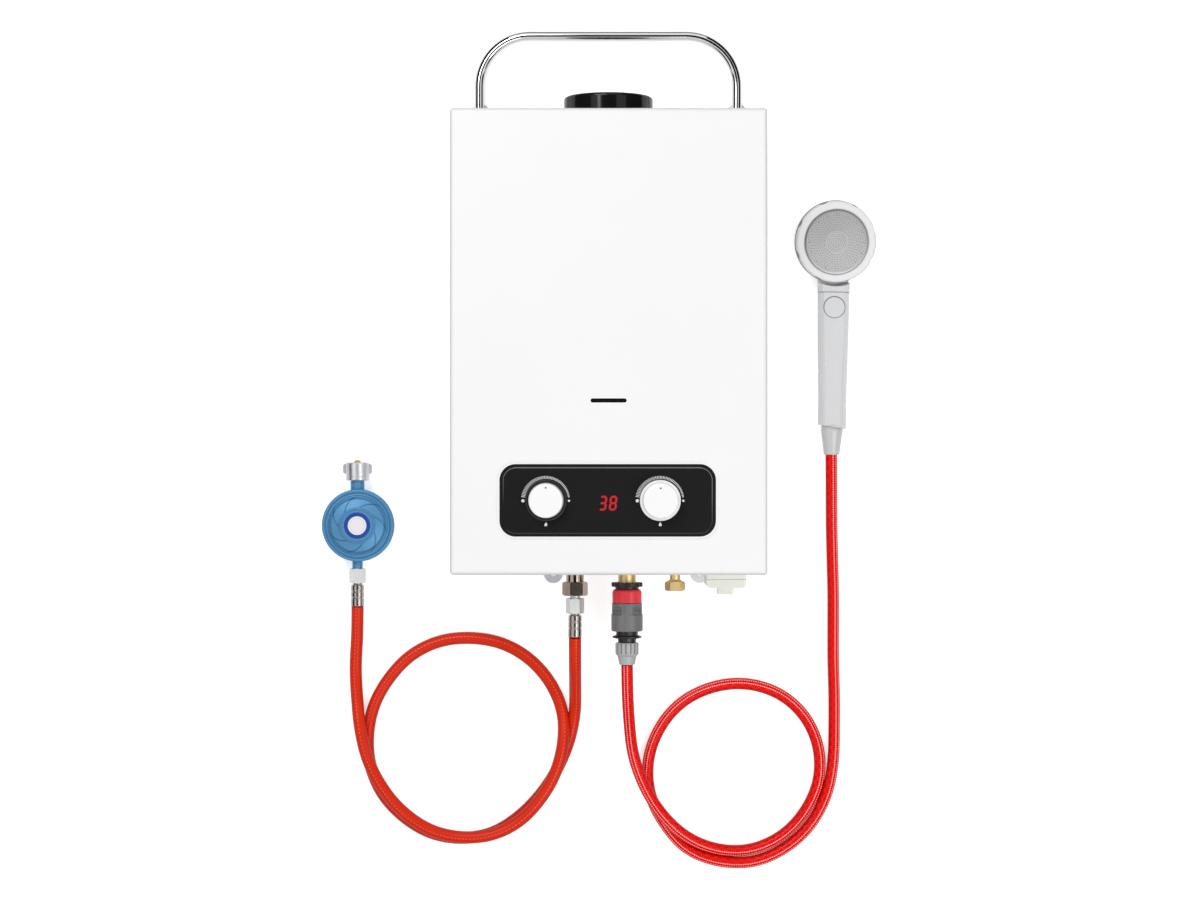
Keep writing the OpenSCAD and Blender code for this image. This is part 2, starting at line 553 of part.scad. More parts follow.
module battery_lid() {
  y1 = yb - 6.7; y0 = yb - 15.3; b = bw / 2;
  color("#ecebdf") difference() {
    union() {
      translate([bx, y0, fz]) rotate([-90, 0, 0]) linear_extrude(y1 - y0) rr2(bw, bw, 3);
      translate([bx, yb - 22.4, fz + 4]) rotate([-90, 0, 0]) linear_extrude(8) rr2(17.2, 12, 2.4);
      xrod(bx - 11.2, bx + 11.2, yb - 8.6, fz - b - 1, 2.1);
      bx3([bx - 11.2, yb - 11.2, fz - b - 1], [bx + 11.2, yb - 8.6, fz - b + 1]);
      xrod(bx - 16.4, bx + 16.4, yb - 8.6, fz - b - 1, 1.4);
      // latch hook reaching into the slot
      bx3([bx - 3.7, y1 - 1, fz + 14.6], [bx + 3.7, yb - 5, fz + 16]);
    }
    // room for the hinge ears
    for (s = [-1, 1]) difference() {
      bx3([bx + s * 14 - 2.8, yb - 12, fz - b - 5], [bx + s * 14 + 2.8, yb - 5, fz - b + 2.4]);
      xrod(bx - 30, bx + 30, yb - 8.6, fz - b - 1, 1.4);
    }
    // sloping lower corners
    for (s = [-1, 1]) translate([bx + s * b, y0, fz - 40]) rotate([0, 0, 45]) translate([-2.4, -2.4, 0]) cube([4.8, 4.8, 80]);
    for (x = [-4, 4]) rblock(bx + x, yb - 22, 2, 6, 0.9, fz + 9, fz + 11);
  }
}
module batteries() {
  color("gray") for (y = [yb - 4.6, yb + 57.4]) turned(bx, y + 61.5, fz, [[0, 0], [4.6, 0], [4.6, 1.5], [15.6, 1.6], [16.6, 2.6], [16.6, 60.5], [15.6, 61.5], [0, 61.5]]);
}

// ---- fittings under the casing ----
module cold_inlet() {
  x = fx[2]; top = -214.05; h = top - yb + 10.05;
  color("goldenrod") {
    difference() {
      union() {
        turned(x, top, fz, [[0, 0], [8, 0], [8, 12], [11, 12], [11, 19.7], [5.35, 19.75], [5.35, h - 2.5], [8.6, h - 0.3], [8.6, h], [0, h]]);
        intersection() {
          translate([x, yb - 19.1, fz]) rotate([-90, 0, 0]) cylinder(r = 10.6, h = 9.4, $fn = 6);
          turned(x, yb - 9.7, fz, [[0, 0], [9.2, 0], [10.6, 1.2], [10.6, 8], [9.2, 9.4], [0, 9.4]]);
        }
      }
      yrod(x, yb - 21, yb - 11, fz, 7);
      yrod(x, yb - 12, -210, fz, 3.6);
    }
  }
}
module hot_outlet() {
  x = fx[1]; top = -221; h = top - yb + 22;
  color("goldenrod") difference() {
    turned(x, top, fz, [[0, 0], [10.5, 0], [10.5, 12.7], [8.95, 12.8], [8.95, h - 10.5], [8, h - 9], [8, h], [0, h]]);
    yrod(x, -224, -219, fz, 6);
    yrod(x, yb - 25, -220, fz, 5);
  }
}
// ribbed black ring screwed on the outlet, with the tail that clicks into the connector
module tap_adaptor() {
  x = fx[1];
  color("#18181a") difference() {
    union() {
      turned(x, yb - 10.5, fz, [[0, 0], [14.6, 0], [15.2, 0.8], [15.2, 3.8], [14.6, 4.5], [12.1, 4.6], [12.1, 6.7], [0, 6.7]]);
      for (a = [0:20:340]) translate([x, yb - 15, fz]) rotate([-90, 0, 0]) rotate([0, 0, a]) translate([14.9, 0, 0.1]) cylinder(r = 1.1, h = 4.3, $fn = 12);
      turned(x, yb - 17.1, fz, [[0, 0], [9, 0], [9, 8], [7.2, 9], [7.2, 12], [8.3, 13], [8.3, 17], [0, 17]]);
    }
    yrod(x, yb - 23, yb - 9, fz, 8.95);
    yrod(x, yb - 35, yb - 22.9, fz, 5);
  }
}
module connector_collar() {
  x = fx[1];
  color("#d8323c") difference() {
    union() {
      turned(x, yb - 17.5, fz, [[0, 0], [12, 0], [13.6, 0.5], [14.6, 1.6], [14.9, 3], [14.9, 13.6], [14.4, 14], [0, 14]]);
      for (a = [9:18:351]) translate([x, yb - 31.4, fz]) rotate([-90, 0, 0]) rotate([0, 0, a]) translate([14.5, 0, 0]) cylinder(r = 0.75, h = 11.4, $fn = 10);
    }
    yrod(x, yb - 33, yb - 15, fz, 9.4);
  }
}
// black inner body: socket, neck, flange, cone and barbed tail
module connector_body() {
  x = fx[1];
  color("#151517") difference() {
    turned(x, yb - 27, fz, [[9.35, 0], [9.35, 4.45], [11.2, 4.65], [11.2, 37.8], [13, 38.3], [15.1, 39.2], [15.1, 40.4],
      [13, 41], [9.6, 41.2], [9, 45.4], [4.4, 45.5], [4.4, 47], [4.9, 48], [4.4, 53], [4.9, 54], [4.4, 59], [4.2, 62], [3, 62], [3, 20], [9.35, 20]]);
    yrod(x, yb - 95, yb - 45, fz, 3);
  }
}
// grey release sleeve with grip flats
module connector_sleeve() {
  x = fx[1];
  color("#6c6e70") difference() {
    turned(x, yb - 31.8, fz, [[0, 0], [15.1, 0], [15.5, 0.5], [15.5, 10.6], [16.2, 12], [16.2, 27.8], [15.4, 28.9], [0, 28.9]]);
    yrod(x, yb - 61, yb - 31, fz, 11.2 + run_fit);
    // grip flats, deeper towards the lower edge of the upper part
    for (a = [45, 135, 225, 315]) translate([x, yb - 31, fz]) rotate([0, a, 0]) translate([13.9, -12.6, 0]) {
      translate([0, 0, -6.5]) cube([4, 8, 13]);
      translate([0, 0, 0]) rotate([0, 0, 14]) translate([0, -1, -5]) cube([4, 6, 10]);
    }
  }
  // raised bands front and back
  color("#6c6e70") for (s = [-1, 1]) intersection() {
    difference() { yrod(x, yb - 60.2, yb - 32.2, fz, 16.6); yrod(x, yb - 61, yb - 31, fz, 15.2); }
    bx3([x - 2.6, yb - 60, s > 0 ? fz : fz - 20], [x + 2.6, yb - 32, s > 0 ? fz + 20 : fz]);
  }
}
module hose_nut() {
  x = fx[1];
  color("#909294") difference() {
    turned(x, yb - 72.6, fz, [[0, 0], [11.2, 0], [12, 0.8], [12, 11.4], [11.4, 12.4], [9.8, 14.2], [8, 22.6], [0, 22.6]]);
    yrod(x, yb - 90.5, yb - 65, fz, 6.15 + 1.6);
    yrod(x, yb - 97, yb - 65, fz, 6.3);
    for (a = [0:24:336]) translate([x, yb - 83.6, fz]) rotate([-90, 0, 0]) rotate([0, 0, a]) translate([10, -0.8, 0]) cube([4, 1.6, 10]);
  }
}
module shower_hose() { color("#d8201c") hose(shower_route, shower_hose_d / 2, 12); }

module gas_inlet() {
  x = fx[0]; top = -214.05; h = top - yb + 19.05;
  color("#8a8d90") difference() {
    turned(x, top, fz, [[0, 0], [8, 0], [8, 8], [12, 8], [12, 19.7], [9.1, 19.75], [9.1, h - 9.3], [7, h - 9.2], [7, h], [0, h]]);
    yrod(x, yb - 25, -210, fz, 3);
  }
}
module gas_union_nut() { color("#b9b4aa") hexnut(fx[0], yb - 24.2, yb - 9.95, fz, 23, 7.1, 8); }
module gas_hose_nut() {
  x = fx[0];
  color("#dfe3e4") difference() {
    union() {
      hexnut(x, yb - 42.5, yb - 26.7, fz, 16.4, 1, 0);
      turned(x, yb - 19.2, fz, [[0, 0], [6.9, 0], [6.9, 4.95], [5.2, 5], [5.2, 7.6], [0, 7.6]]);
    }
    yrod(x, yb - 45, yb - 15, fz, 3);
    zrod(x, yb - 34.6, fz + 7.7, fz + 12, 0.7);
  }
}
// crimped sleeve: points are measured down from its upper end
module ferrule(x, y0, z, l) {
  color("#c4c2be") difference() {
    turned(x, y0, z, [[0, 0], [4.8, 0], [4.8, 1.4], [6, 1.9], [6.8, 2.6], [6.9, 7.4], [6.55, 8], [6.55, 9.2], [6.9, 9.8], [6.9, 14.2], [6.55, 14.8], [6.55, 16], [6.9, 16.6], [6.9, l - 0.5], [6.6, l], [0, l]]);
    yrod(x, y0 - l - 1, y0 + 1, z, 3);
  }
}
module gas_hose_ferrule() { ferrule(fx[0], yb - 42.55, fz, 24.35); }
module regulator_ferrule() { ferrule(rc[0] - 1.3, -248.75, rz, 24.15); }
module gas_hose() { color("#d23318") hose(gas_route, gas_hose_d / 2, 12); }

// ---- regulator ----
module regulator_hose_nut() {
  x = rc[0] - 1.3;
  color("#e2e4e3") difference() {
    hexnut(x, -248.7, -233.35, rz, 15, 3);
    yrod(x, -238, -230, rz, 5.42);
    zrod(x, -241, rz + 7.2, rz + 12, 0.7);
  }
}
module regulator_body() {
  R = reg_d / 2; x = rc[0] - 1.3;
  color("#3f7fae") difference() {
    union() {
      spun(rc[0], rc[1], 0, concat([[0, 0.2], [20, 0.2]], arcp(20, 14.2, 14, -90, -15, 8), [[R - 1, 21.4], [R, 22.2], [R, 26], [0, 26]]));
      yrod(x, rc[1] + 20, -141.5, rz, 7.2);
      turned(x, -220, rz, [[0, 0], [7, 0], [5.4, 5], [5.4, 17.9], [0, 17.9]]);
      yrod(x, -225, rc[1], rz, 7);
      translate([rc[0], rc[1], 0]) for (a = [30, 90, 150, 210, 270, 330]) rotate([0, 0, a]) translate([26, -1.2, 1]) cube([8, 2.4, 21]);
    }
    yrod(x, -240, -205, rz, 2.5);
    zrod(rc[0], rc[1], 6, 27, 24.6);
  }
}
// stamped dome with a stepped rim and seven swirling grooves
module regulator_cover() {
  R = reg_d / 2;
  color("#4a8fc0") translate([rc[0], rc[1], 0]) {
    difference() {
      rotate_extrude() polygon(concat([[0, 26.02], [R - 0.3, 26.02], [R - 0.3, 28.4]], arcp(R - 1.5, 28.4, 1.2, 0, 90, 4),
        [[R - 2.9, 29.6], [R - 3.4, 28.8], [R - 4.2, 28.8], [R - 4.8, 30]], arcp(R - 5.9, 29.4, 0.8, 60, 120, 3),
        [[R - 6.9, 29.2], [R - 8, 29.6], [R * 0.72, 32.6], [R * 0.56, 34.4], [18.6, 35.3], [18.1, 35.5], [17.7, 36.2], [16.9, 36.2], [16.4, 35.4], [0, 35.4]]));
      translate([0, 0, 25]) cylinder(r = 24, h = 3.4);
      translate([0, 0, 27.8]) cylinder(r = 12, h = 3);
      intersection() {
        union() for (a = [0:6]) rotate([0, 0, 10 + a * 360 / 7]) translate([14, 0, 25]) rotate_extrude(angle = 84, start = 40) translate([19.3, 0]) square([0.8, 15]);
        rotate_extrude() polygon([[18.9, 34.4], [R * 0.56, 33.6], [R * 0.72, 31.8], [R - 8.2, 29], [R - 8.2, 40], [18.9, 40]]);
      }
    }
  }
}
module regulator_badge() { color("#1d4fa0") spun(rc[0], rc[1], 35.42, [[0, 0], [13.6, 0], [13.6, 0.6], [13.2, 0.9], [10.9, 0.9], [10.8, 0.7], [0, 0.7]]); }
module regulator_wing_nut() {
  x = rc[0] - 1.3;
  color("#dfe2e3") difference() {
    union() {
      turned(x, -122.2, rz, [[0, 0], [11.4, 0], [12.35, 0.9], [12.35, 14.6], [12, 15], [12.35, 15.4], [12.35, 18.3], [11.6, 19], [0, 19]]);
      for (s = [-1, 1]) translate([x + s * 12.4, -128.9, rz - 2.2]) linear_extrude(4.4) rr2(5.4, 10.6, 2.4);
      for (a = [0, 90, 180, 270]) translate([x, -140.6, rz]) rotate([0, a + 45, 0]) translate([11, 0, -1]) cube([2, 18, 2]);
    }
    yrod(x, -134, -120, rz, 10.2);
    yrod(x, -142, -120, rz, 5.5 + run_fit);
  }
}
module regulator_nipple() {
  x = rc[0] - 1.3;
  color("goldenrod") difference() {
    turned(x, -119.8, rz, [[0, 0], [2.6, 0], [3.4, 1], [3.4, 5.6], [5.2, 6], [8.6, 9.4], [8.6, 13.9], [5.5, 14], [5.5, 21.7], [0, 21.7]]);
    yrod(x, -145, -119, rz, 1.8);
  }
}

// ---- handset ----
module hsf() { translate([234.3, -114.2, hsz]) rotate([0, 0, -0.7]) children(); }
hl2 = 224;                       // from the hose end to the middle of the head
by = 154;                        // and to the button
button_r = 10.8;
module headf() { hsf() translate([0, hl2, 0]) rotate([8, 7, 0]) children(); }
module handset_cone() {
  color("#eeeeee") hsf() difference() {
    turned(0, 33.5, 0, concat([[0, 0], [10.9, 0], [10.9, 5.4], [11.3, 5.9], [11.3, 8.6], [8.3, 31.4]], arcp(7.3, 32.5, 1, 0, 90, 4), [[0, 33.5]]));
    yrod(0, -1, 12, 0, 6.3);
    yrod(0, 11, 34, 0, 5);
  }
}
module handset_body() {
  color("#e4e5e6") hsf() difference() {
    turned(0, 170, 0, concat([[0, 0], [16.2, 0], [16.6, 0.5], [16.2, 40], [15.1, 90], [14.7, 120], [14.9, 143.1]], [[0, 143.1]]));
    // flat upper face
    translate([-20, 30, 12.6]) cube([40, 150, 10]);
    // seat of the button
    translate([0, by, 7]) cylinder(r = button_r + 0.4, h = 10);
    translate([0, by, -2]) cylinder(r = 5, h = 10);
    yrod(0, 26, 60, 0, 5);
    yrod(0, 20, 34, 0, 11);
    // slanted lower end
    translate([0, 29.3, 0]) rotate([0, 0, -9]) translate([-20, -12, -20]) cube([40, 12, 40]);
  }
}
module handset_button() {
  color("#ececec") hsf() translate([0, by, 0]) {
    translate([0, 0, 9.2]) rotate_extrude() polygon(concat([[0, 0], [button_r, 0], [button_r, 3.7]], arcp(button_r - 1, 3.7, 1, 0, 90, 4), [[0, 4.9]]));
    translate([0, 0, 3]) cylinder(r = 4.9, h = 6.3);
  }
}
module handset_head() {
  R = head_d / 2;
  color("#e6e7e8") difference() {
    union() {
      headf() rotate_extrude() polygon(concat([[0, -11.6], [20, -11]], arcp(R - 16, 4, 14.6, -80, -8, 8), [[R - 1.6, 3], [0, 3]]));
      hsf() intersection() {
        yrod(0, 170.3, 206, 0, 16.8);
        translate([-20, 150, -20]) cube([40, 80, 31.5]);
      }
    }
    headf() cylinder(r = R - 6, h = 5);
    headf() translate([0, 0, 3]) cylinder(r = R + 3, h = 20);
    headf() translate([0, 0, -6]) cylinder(r = R - 14, h = 12);
  }
}
module handset_collar() {
  R = head_d / 2;
  color("#75777a") headf() rotate_extrude() polygon([[R - 5.8, 3.02], [R, 3.02], [R + 0.2, 4], [R, 6.6], [R - 5.8, 6.6]]);
}
// white front ring with shallow grip scallops
module handset_ring() {
  R = head_d / 2;
  color("#f2f2f2") headf() difference() {
    rotate_extrude() polygon(concat([[R - 9, 6.62], [R - 0.4, 6.62]], arcp(R - 3.2, 11, 2.8, -10, 90, 8), [[R - 7.6, 14], [R - 8.5, 13.2], [R - 9, 12]]));
    for (a = [20:45:335]) rotate([0, 0, a]) translate([R + 11.4, 0, 5]) cylinder(r = 13, h = 12);
  }
}
// steel face plate with raised rings in the middle and rings of spray holes
module spray_plate() {
  R = head_d / 2 - 9.06;
  color("silver") headf() difference() {
    rotate_extrude() polygon(concat([[0, 8], [R, 8], [R, 12.3], [R - 0.5, 12.8], [R - 2, 13.1], [11, 13.4]],
      [for (k = [0:4]) each [[10.4 - k * 2, 13.4], [10.1 - k * 2, 13.7], [9.7 - k * 2, 13.7], [9.4 - k * 2, 13.4]]], [[0, 13.4]]));
    for (k = [0:15]) rotate([0, 0, k * 22.5]) translate([R - 5, 0, 11]) cylinder(r = 0.5, h = 4, $fn = 12);
  }
}

back_panel();
front_cover();
bottom_plate();
handle();
handle_brackets();
handle_pins();
flue_cap();
flue_hood();
exchanger_shell();
exchanger_fins();
water_coil();
burner_frame();
burner_bars();
gas_manifold();
electrodes();
spark_igniter();
gas_valve();
water_valve();
gas_spindle();
water_spindle();
gas_pipe();
control_board();
window_lens();
panel_frame();
control_fascia();
display_digits();
gas_knob_ring();
gas_knob();
water_knob();
battery_box();
battery_lid();
batteries();
casing_screws();
cold_inlet();
hot_outlet();
tap_adaptor();
connector_body();
connector_collar();
connector_sleeve();
hose_nut();
shower_hose();
gas_inlet();
gas_union_nut();
gas_hose_nut();
gas_hose_ferrule();
gas_hose();
regulator_ferrule();
regulator_hose_nut();
regulator_body();
regulator_cover();
regulator_badge();
regulator_wing_nut();
regulator_nipple();
handset_body();
handset_head();
handset_collar();
handset_ring();
spray_plate();
handset_button();
handset_cone();
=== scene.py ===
"""Portable gas water heater on its back, with its gas line and shower line: looks, hoses and stage."""

import logging
import math
from dataclasses import dataclass
from enum import Enum
from typing import Any, ClassVar, Sequence

import bmesh
import bpy
from bmesh.types import BMesh
from bpy.types import Material, Mesh, NodeSocket, Object, World
from mathutils import Euler, Matrix, Vector


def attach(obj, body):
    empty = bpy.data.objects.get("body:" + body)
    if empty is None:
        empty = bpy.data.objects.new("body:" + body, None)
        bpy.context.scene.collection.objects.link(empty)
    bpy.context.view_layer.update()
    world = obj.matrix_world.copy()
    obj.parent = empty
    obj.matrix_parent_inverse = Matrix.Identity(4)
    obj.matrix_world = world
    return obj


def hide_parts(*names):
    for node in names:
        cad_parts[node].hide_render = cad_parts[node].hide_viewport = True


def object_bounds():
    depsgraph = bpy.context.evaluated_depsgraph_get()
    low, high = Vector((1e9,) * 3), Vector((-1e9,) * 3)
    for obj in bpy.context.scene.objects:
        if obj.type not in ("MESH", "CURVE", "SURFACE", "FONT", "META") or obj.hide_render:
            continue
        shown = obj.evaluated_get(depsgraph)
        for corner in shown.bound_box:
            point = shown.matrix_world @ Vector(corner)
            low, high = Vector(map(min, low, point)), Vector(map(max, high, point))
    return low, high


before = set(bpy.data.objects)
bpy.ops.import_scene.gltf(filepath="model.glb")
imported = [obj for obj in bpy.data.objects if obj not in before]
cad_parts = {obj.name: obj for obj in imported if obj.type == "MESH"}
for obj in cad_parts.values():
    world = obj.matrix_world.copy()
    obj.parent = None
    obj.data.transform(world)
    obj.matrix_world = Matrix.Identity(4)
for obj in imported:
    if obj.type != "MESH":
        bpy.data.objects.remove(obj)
CAD_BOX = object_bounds()
LOG = logging.getLogger("heater")
MM = 0.001
Pair = tuple[float, float]
Triple = tuple[float, float, float]


# ---- shader maths


class Val:
    """A shader socket that takes part in Python expressions."""

    def __init__(self, kit: "ShaderKit", socket: Any) -> None:
        self.kit = kit
        self.socket = socket

    def _math(self, operation: str, *values: Any) -> "Val":
        """Adds one Math node and returns its output."""
        return self.kit.node("Math", {"operation": operation}, *values)

    def __add__(self, other: Any) -> "Val":
        """Sum."""
        return self._math("ADD", self, other)

    def __radd__(self, other: Any) -> "Val":
        """Sum with a number on the left."""
        return self._math("ADD", other, self)

    def __sub__(self, other: Any) -> "Val":
        """Difference."""
        return self._math("SUBTRACT", self, other)

    def __rsub__(self, other: Any) -> "Val":
        """Difference with a number on the left."""
        return self._math("SUBTRACT", other, self)

    def __mul__(self, other: Any) -> "Val":
        """Product."""
        return self._math("MULTIPLY", self, other)

    def __truediv__(self, other: Any) -> "Val":
        """Quotient."""
        return self._math("DIVIDE", self, other)

    def __lt__(self, other: Any) -> "Val":
        """1 where this is the smaller."""
        return self._math("LESS_THAN", self, other)

    def __gt__(self, other: Any) -> "Val":
        """1 where this is the larger."""
        return self._math("GREATER_THAN", self, other)

    def root(self) -> "Val":
        """Square root."""
        return self._math("SQRT", self)

    def size(self) -> "Val":
        """Absolute value."""
        return self._math("ABSOLUTE", self)

    def cycle(self) -> "Val":
        """Fraction, from 0 to 1."""
        return self._math("FRACT", self)

    def clamped(self) -> "Val":
        """Value held between 0 and 1."""
        return self.kit.node("Clamp", {}, self)

    def near(self, middle: float, half: float) -> "Val":
        """1 within a line of that middle and half width, 0 outside it."""
        return (self - middle).size() < half


class ShaderKit:
    """One material's node tree with its Principled shader."""

    def __init__(self, name: str) -> None:
        """Makes an empty material of that name."""
        self.material = bpy.data.materials.new(name)
        self.material.use_nodes = True
        self.tree = self.material.node_tree
        self.tree.nodes.clear()
        self.output = self.tree.nodes.new("ShaderNodeOutputMaterial")
        self.surface = self.tree.nodes.new("ShaderNodeBsdfPrincipled")
        self.tree.links.new(self.surface.outputs[0], self.output.inputs["Surface"])

    def node(self, kind: str, settings: dict[str, Any], *values: Any, out: Any = 0, **named: Any) -> Val:
        """Adds any node.

        Args:
            kind: The node's type name, without ShaderNode.
            settings: Attributes set before its sockets are filled.
            values: Values or sockets for the inputs in order; None skips one.
            out: Index or name of the output that is returned.
            named: Values or sockets by input name, with spaces as underscores.

        Returns:
            The chosen output.
        """
        made = self.tree.nodes.new("ShaderNode" + kind)
        for key, value in settings.items():
            setattr(made, key, value)
        for index, value in enumerate(values):
            if value is not None:
                self.feed(made.inputs[index], value)
        for key, value in named.items():
            self.feed(made.inputs[key.replace("_", " ")], value)
        return Val(self, made.outputs[out])

    def feed(self, socket: Any, value: Any) -> None:
        """Links a socket to a Val, or sets its number."""
        if isinstance(value, Val):
            self.tree.links.new(value.socket, socket)
        elif hasattr(value, "__len__") and len(socket.default_value) == 4 and len(value) == 3:
            socket.default_value = (*value, 1.0)
        else:
            socket.default_value = value

    def place(self, scale: Sequence[float] = (1, 1, 1)) -> Val:
        """Object coordinates in metres, stretched by a Mapping node."""
        at = self.node("TexCoord", {}, out="Object")
        return self.node("Mapping", {}, at, Scale=scale)

    def axes(self, centre: Sequence[float] = (0, 0, 0)) -> tuple[Val, Val, Val]:
        """Object coordinates in millimetres, measured from a centre in millimetres."""
        return tuple(p * (1 / MM) - c for p, c in zip(self.parts("Object"), centre))

    def parts(self, kind: str) -> list[Val]:
        """The three numbers of one kind of texture coordinates."""
        at = self.node("TexCoord", {}, out=kind)
        return [self.node("SeparateXYZ", {}, at, out=k) for k in range(3)]

    def noise(self, scale: float, detail: float = 3.0, rough: float = 0.5, at: Val | None = None) -> Val:
        """Noise from 0 to 1 at a scale in lumps a metre."""
        return self.node("TexNoise", {}, at or self.place(), Scale=scale, Detail=detail, Roughness=rough)

    def mix(self, amount: Any, first: Any, second: Any) -> Val:
        """Colour mix, from first to second."""
        made = self.tree.nodes.new("ShaderNodeMix")
        made.data_type = "RGBA"
        self.feed(made.inputs[0], amount)
        self.feed(made.inputs[6], first)
        self.feed(made.inputs[7], second)
        return Val(self, made.outputs[2])

    def bump(self, height: Val, strength: float, depth: float) -> None:
        """Feeds a Bump node, with its depth in millimetres, to the shader's normal."""
        self.set(Normal=self.node("Bump", {}, Height=height, Strength=strength,
                                  Distance=depth * MM))

    def set(self, **values: Any) -> None:
        """Sets or links the shader's sockets by name."""
        for key, value in values.items():
            self.feed(self.surface.inputs[key.replace("_", " ")], value)


def reach(x: Val, y: Val) -> Val:
    """Distance from the centre of a plane."""
    return (x * x + y * y).root()


# ---- finishes


@dataclass(frozen=True)
class Finish:
    """A finish that covers one material slot."""

    name: str
    colour: Triple
    rough: float = 0.4

    def build(self) -> Material:
        """Makes the material."""
        kit = ShaderKit(self.name)
        kit.material.diffuse_color = (*self.colour, 1.0)
        self.dress(kit)
        return kit.material

    def dress(self, kit: ShaderKit) -> None:
        """Fills the shader; each kind of finish has its own."""
        raise NotImplementedError

    def tint(self, share: float) -> Triple:
        """This colour, darker or lighter by a share."""
        return tuple(c * share for c in self.colour)

    def shades(self, kit: ShaderKit, change: float, scale: float) -> Val:
        """Colour that drifts a little over the surface.

        Args:
            kit: The material's tree.
            change: Share by which the darkest place is darker.
            scale: Lumps a metre.

        Returns:
            The colour.
        """
        return kit.mix(kit.noise(scale, 4), self.colour, self.tint(1 - change))

    def gloss(self, kit: ShaderKit, change: float, scale: float, detail: float = 4.0) -> Val:
        """Roughness that drifts a little over the surface.

        Args:
            kit: The material's tree.
            change: Difference between the dullest and the glossiest place.
            scale: Lumps a metre.
            detail: Layers of finer lumps.

        Returns:
            The roughness.
        """
        return self.rough + (kit.noise(scale, detail) - 0.5) * change


@dataclass(frozen=True)
class Enamel(Finish):
    """Sprayed and baked paint on sheet steel, with faint orange peel."""

    peel: float = 0.05
    coat: float = 0.3
    shine: float = 0.5

    def dress(self, kit: ShaderKit) -> None:
        """Smooth paint, a thin clear layer and a soft drift in gloss."""
        kit.set(Base_Color=self.shades(kit, 0.02, 9.0), Coat_Weight=self.coat, Coat_Roughness=0.12)
        kit.set(Roughness=self.gloss(kit, 0.08, 30.0), Specular_IOR_Level=self.shine)
        kit.bump(kit.noise(900.0, 2), 0.25, self.peel)


@dataclass(frozen=True)
class CasingEnamel(Enamel):
    """Enamel of the casing, with painted shade greying the folds round its front; sizes in millimetres."""

    half: Pair = (160.0, 235.0)
    fold: float = 6.0
    front: float = 130.0
    grey: float = 0.66

    def shades(self, kit: ShaderKit, change: float, scale: float) -> Val:
        """As in Finish, with painted shade that greys from the flat front to the outer end of the folds."""
        x, y, z = kit.axes()
        side, end = self.half[0] - x.size(), self.half[1] - y.size()
        inward = (side + end - (side - end).size()) * 0.5
        # painted shade: the folds grow greyer towards their outer end, only near the front face
        painted_fold_shade = ((self.fold - inward) / self.fold).clamped()
        high = ((z - self.front + 2 * self.fold) / self.fold).clamped()
        return kit.mix(painted_fold_shade * painted_fold_shade * high, super().shades(kit, change, scale), self.tint(self.grey))


@dataclass(frozen=True)
class Moulded(Finish):
    """Injection moulded plastic with a fine grain."""

    grain: float = 0.03
    coat: float = 0.0
    soft: float = 0.0

    def dress(self, kit: ShaderKit) -> None:
        """Even colour, fine grain, and a little light that goes in."""
        kit.set(Base_Color=self.shades(kit, 0.04, 25.0), Coat_Weight=self.coat, Coat_Roughness=0.08)
        kit.set(Roughness=self.gloss(kit, 0.1, 60.0))
        kit.set(Subsurface_Weight=self.soft, Subsurface_Scale=0.002)
        kit.bump(kit.noise(2600.0, 2), 0.3, self.grain)


@dataclass(frozen=True)
class HandsetShell(Moulded):
    """Plastic of the handle, with painted shade in the gap round its button and in the neck's seam;
    millimetres.
    """

    origin: Triple = (234.3, -114.2, 0)
    lean: float = math.radians(0.7)
    button: float = 154.0
    gap: float = 11.3
    gap_half: float = 0.55
    gap_shade: float = 0.45
    gap_shade_rise: float = 0.35
    dark: float = 0.25
    seam: float = 169.8
    seam_half: float = 0.4
    seam_shade: float = 0.6

    def shades(self, kit: ShaderKit, change: float, scale: float) -> Val:
        """As in Finish, with painted shade in the two gaps, strongest above the button."""
        x, y, _ = kit.axes(self.origin)
        cos, sin = math.cos(self.lean), math.sin(self.lean)
        across, along = x * cos - y * sin, x * sin + y * cos - self.button
        circle = reach(across, along).near(self.gap, self.gap_half)
        seam = along.near(self.seam - self.button, self.seam_half)
        # painted shade in the button's gap, darker towards its top, and in the seam's groove
        painted_gap_shade = circle * (along * self.gap_shade_rise / self.gap + self.gap_shade) + seam * self.seam_shade
        return kit.mix(painted_gap_shade.clamped(), super().shades(kit, change, scale), self.tint(self.dark))


class Worked(Enum):
    """How a metal's surface was left."""

    POLISHED = "polished"
    TURNED = "turned"
    BRUSHED = "brushed"
    CAST = "cast"
    SPANGLED = "spangled"


@dataclass(frozen=True)
class Metal(Finish):
    """Bare or plated metal."""

    worked: Worked = Worked.POLISHED
    tarnish: float = 0.06
    along: Triple = (1.0, 1.0, 1.0)

    def dress(self, kit: ShaderKit) -> None:
        """Metal whose colour, gloss and bump follow the way it was worked."""
        kit.set(Metallic=1.0)
        if self.worked is Worked.SPANGLED:
            cells = kit.node("TexVoronoi", {"feature": "F1"}, kit.place(), Scale=140.0,
                             out="Color")
            flakes = kit.node("SeparateColor", {}, cells, out=0)
            kit.set(Base_Color=kit.mix(flakes, self.colour, self.tint(0.82)))
            kit.set(Roughness=self.rough + flakes * 0.16)
            kit.bump(kit.noise(300.0, 3), 0.2, 0.03)
            return
        kit.set(Base_Color=self.shades(kit, self.tarnish, 45.0))
        if self.worked is Worked.POLISHED:
            kit.set(Roughness=self.rough + kit.noise(220.0, 5) * 0.04)
            kit.bump(kit.noise(70.0, 2), 0.1, 0.02)
        elif self.worked is Worked.CAST:
            kit.set(Roughness=self.rough + kit.noise(500.0, 3) * 0.12)
            kit.bump(kit.noise(1500.0, 3), 0.5, 0.06)
        else:
            lines = kit.noise(30.0, 5, 0.6, kit.place(tuple(a * 60.0 for a in self.along)))
            kit.set(Roughness=self.rough + lines * 0.16)
            kit.bump(lines, 0.3, 0.02)


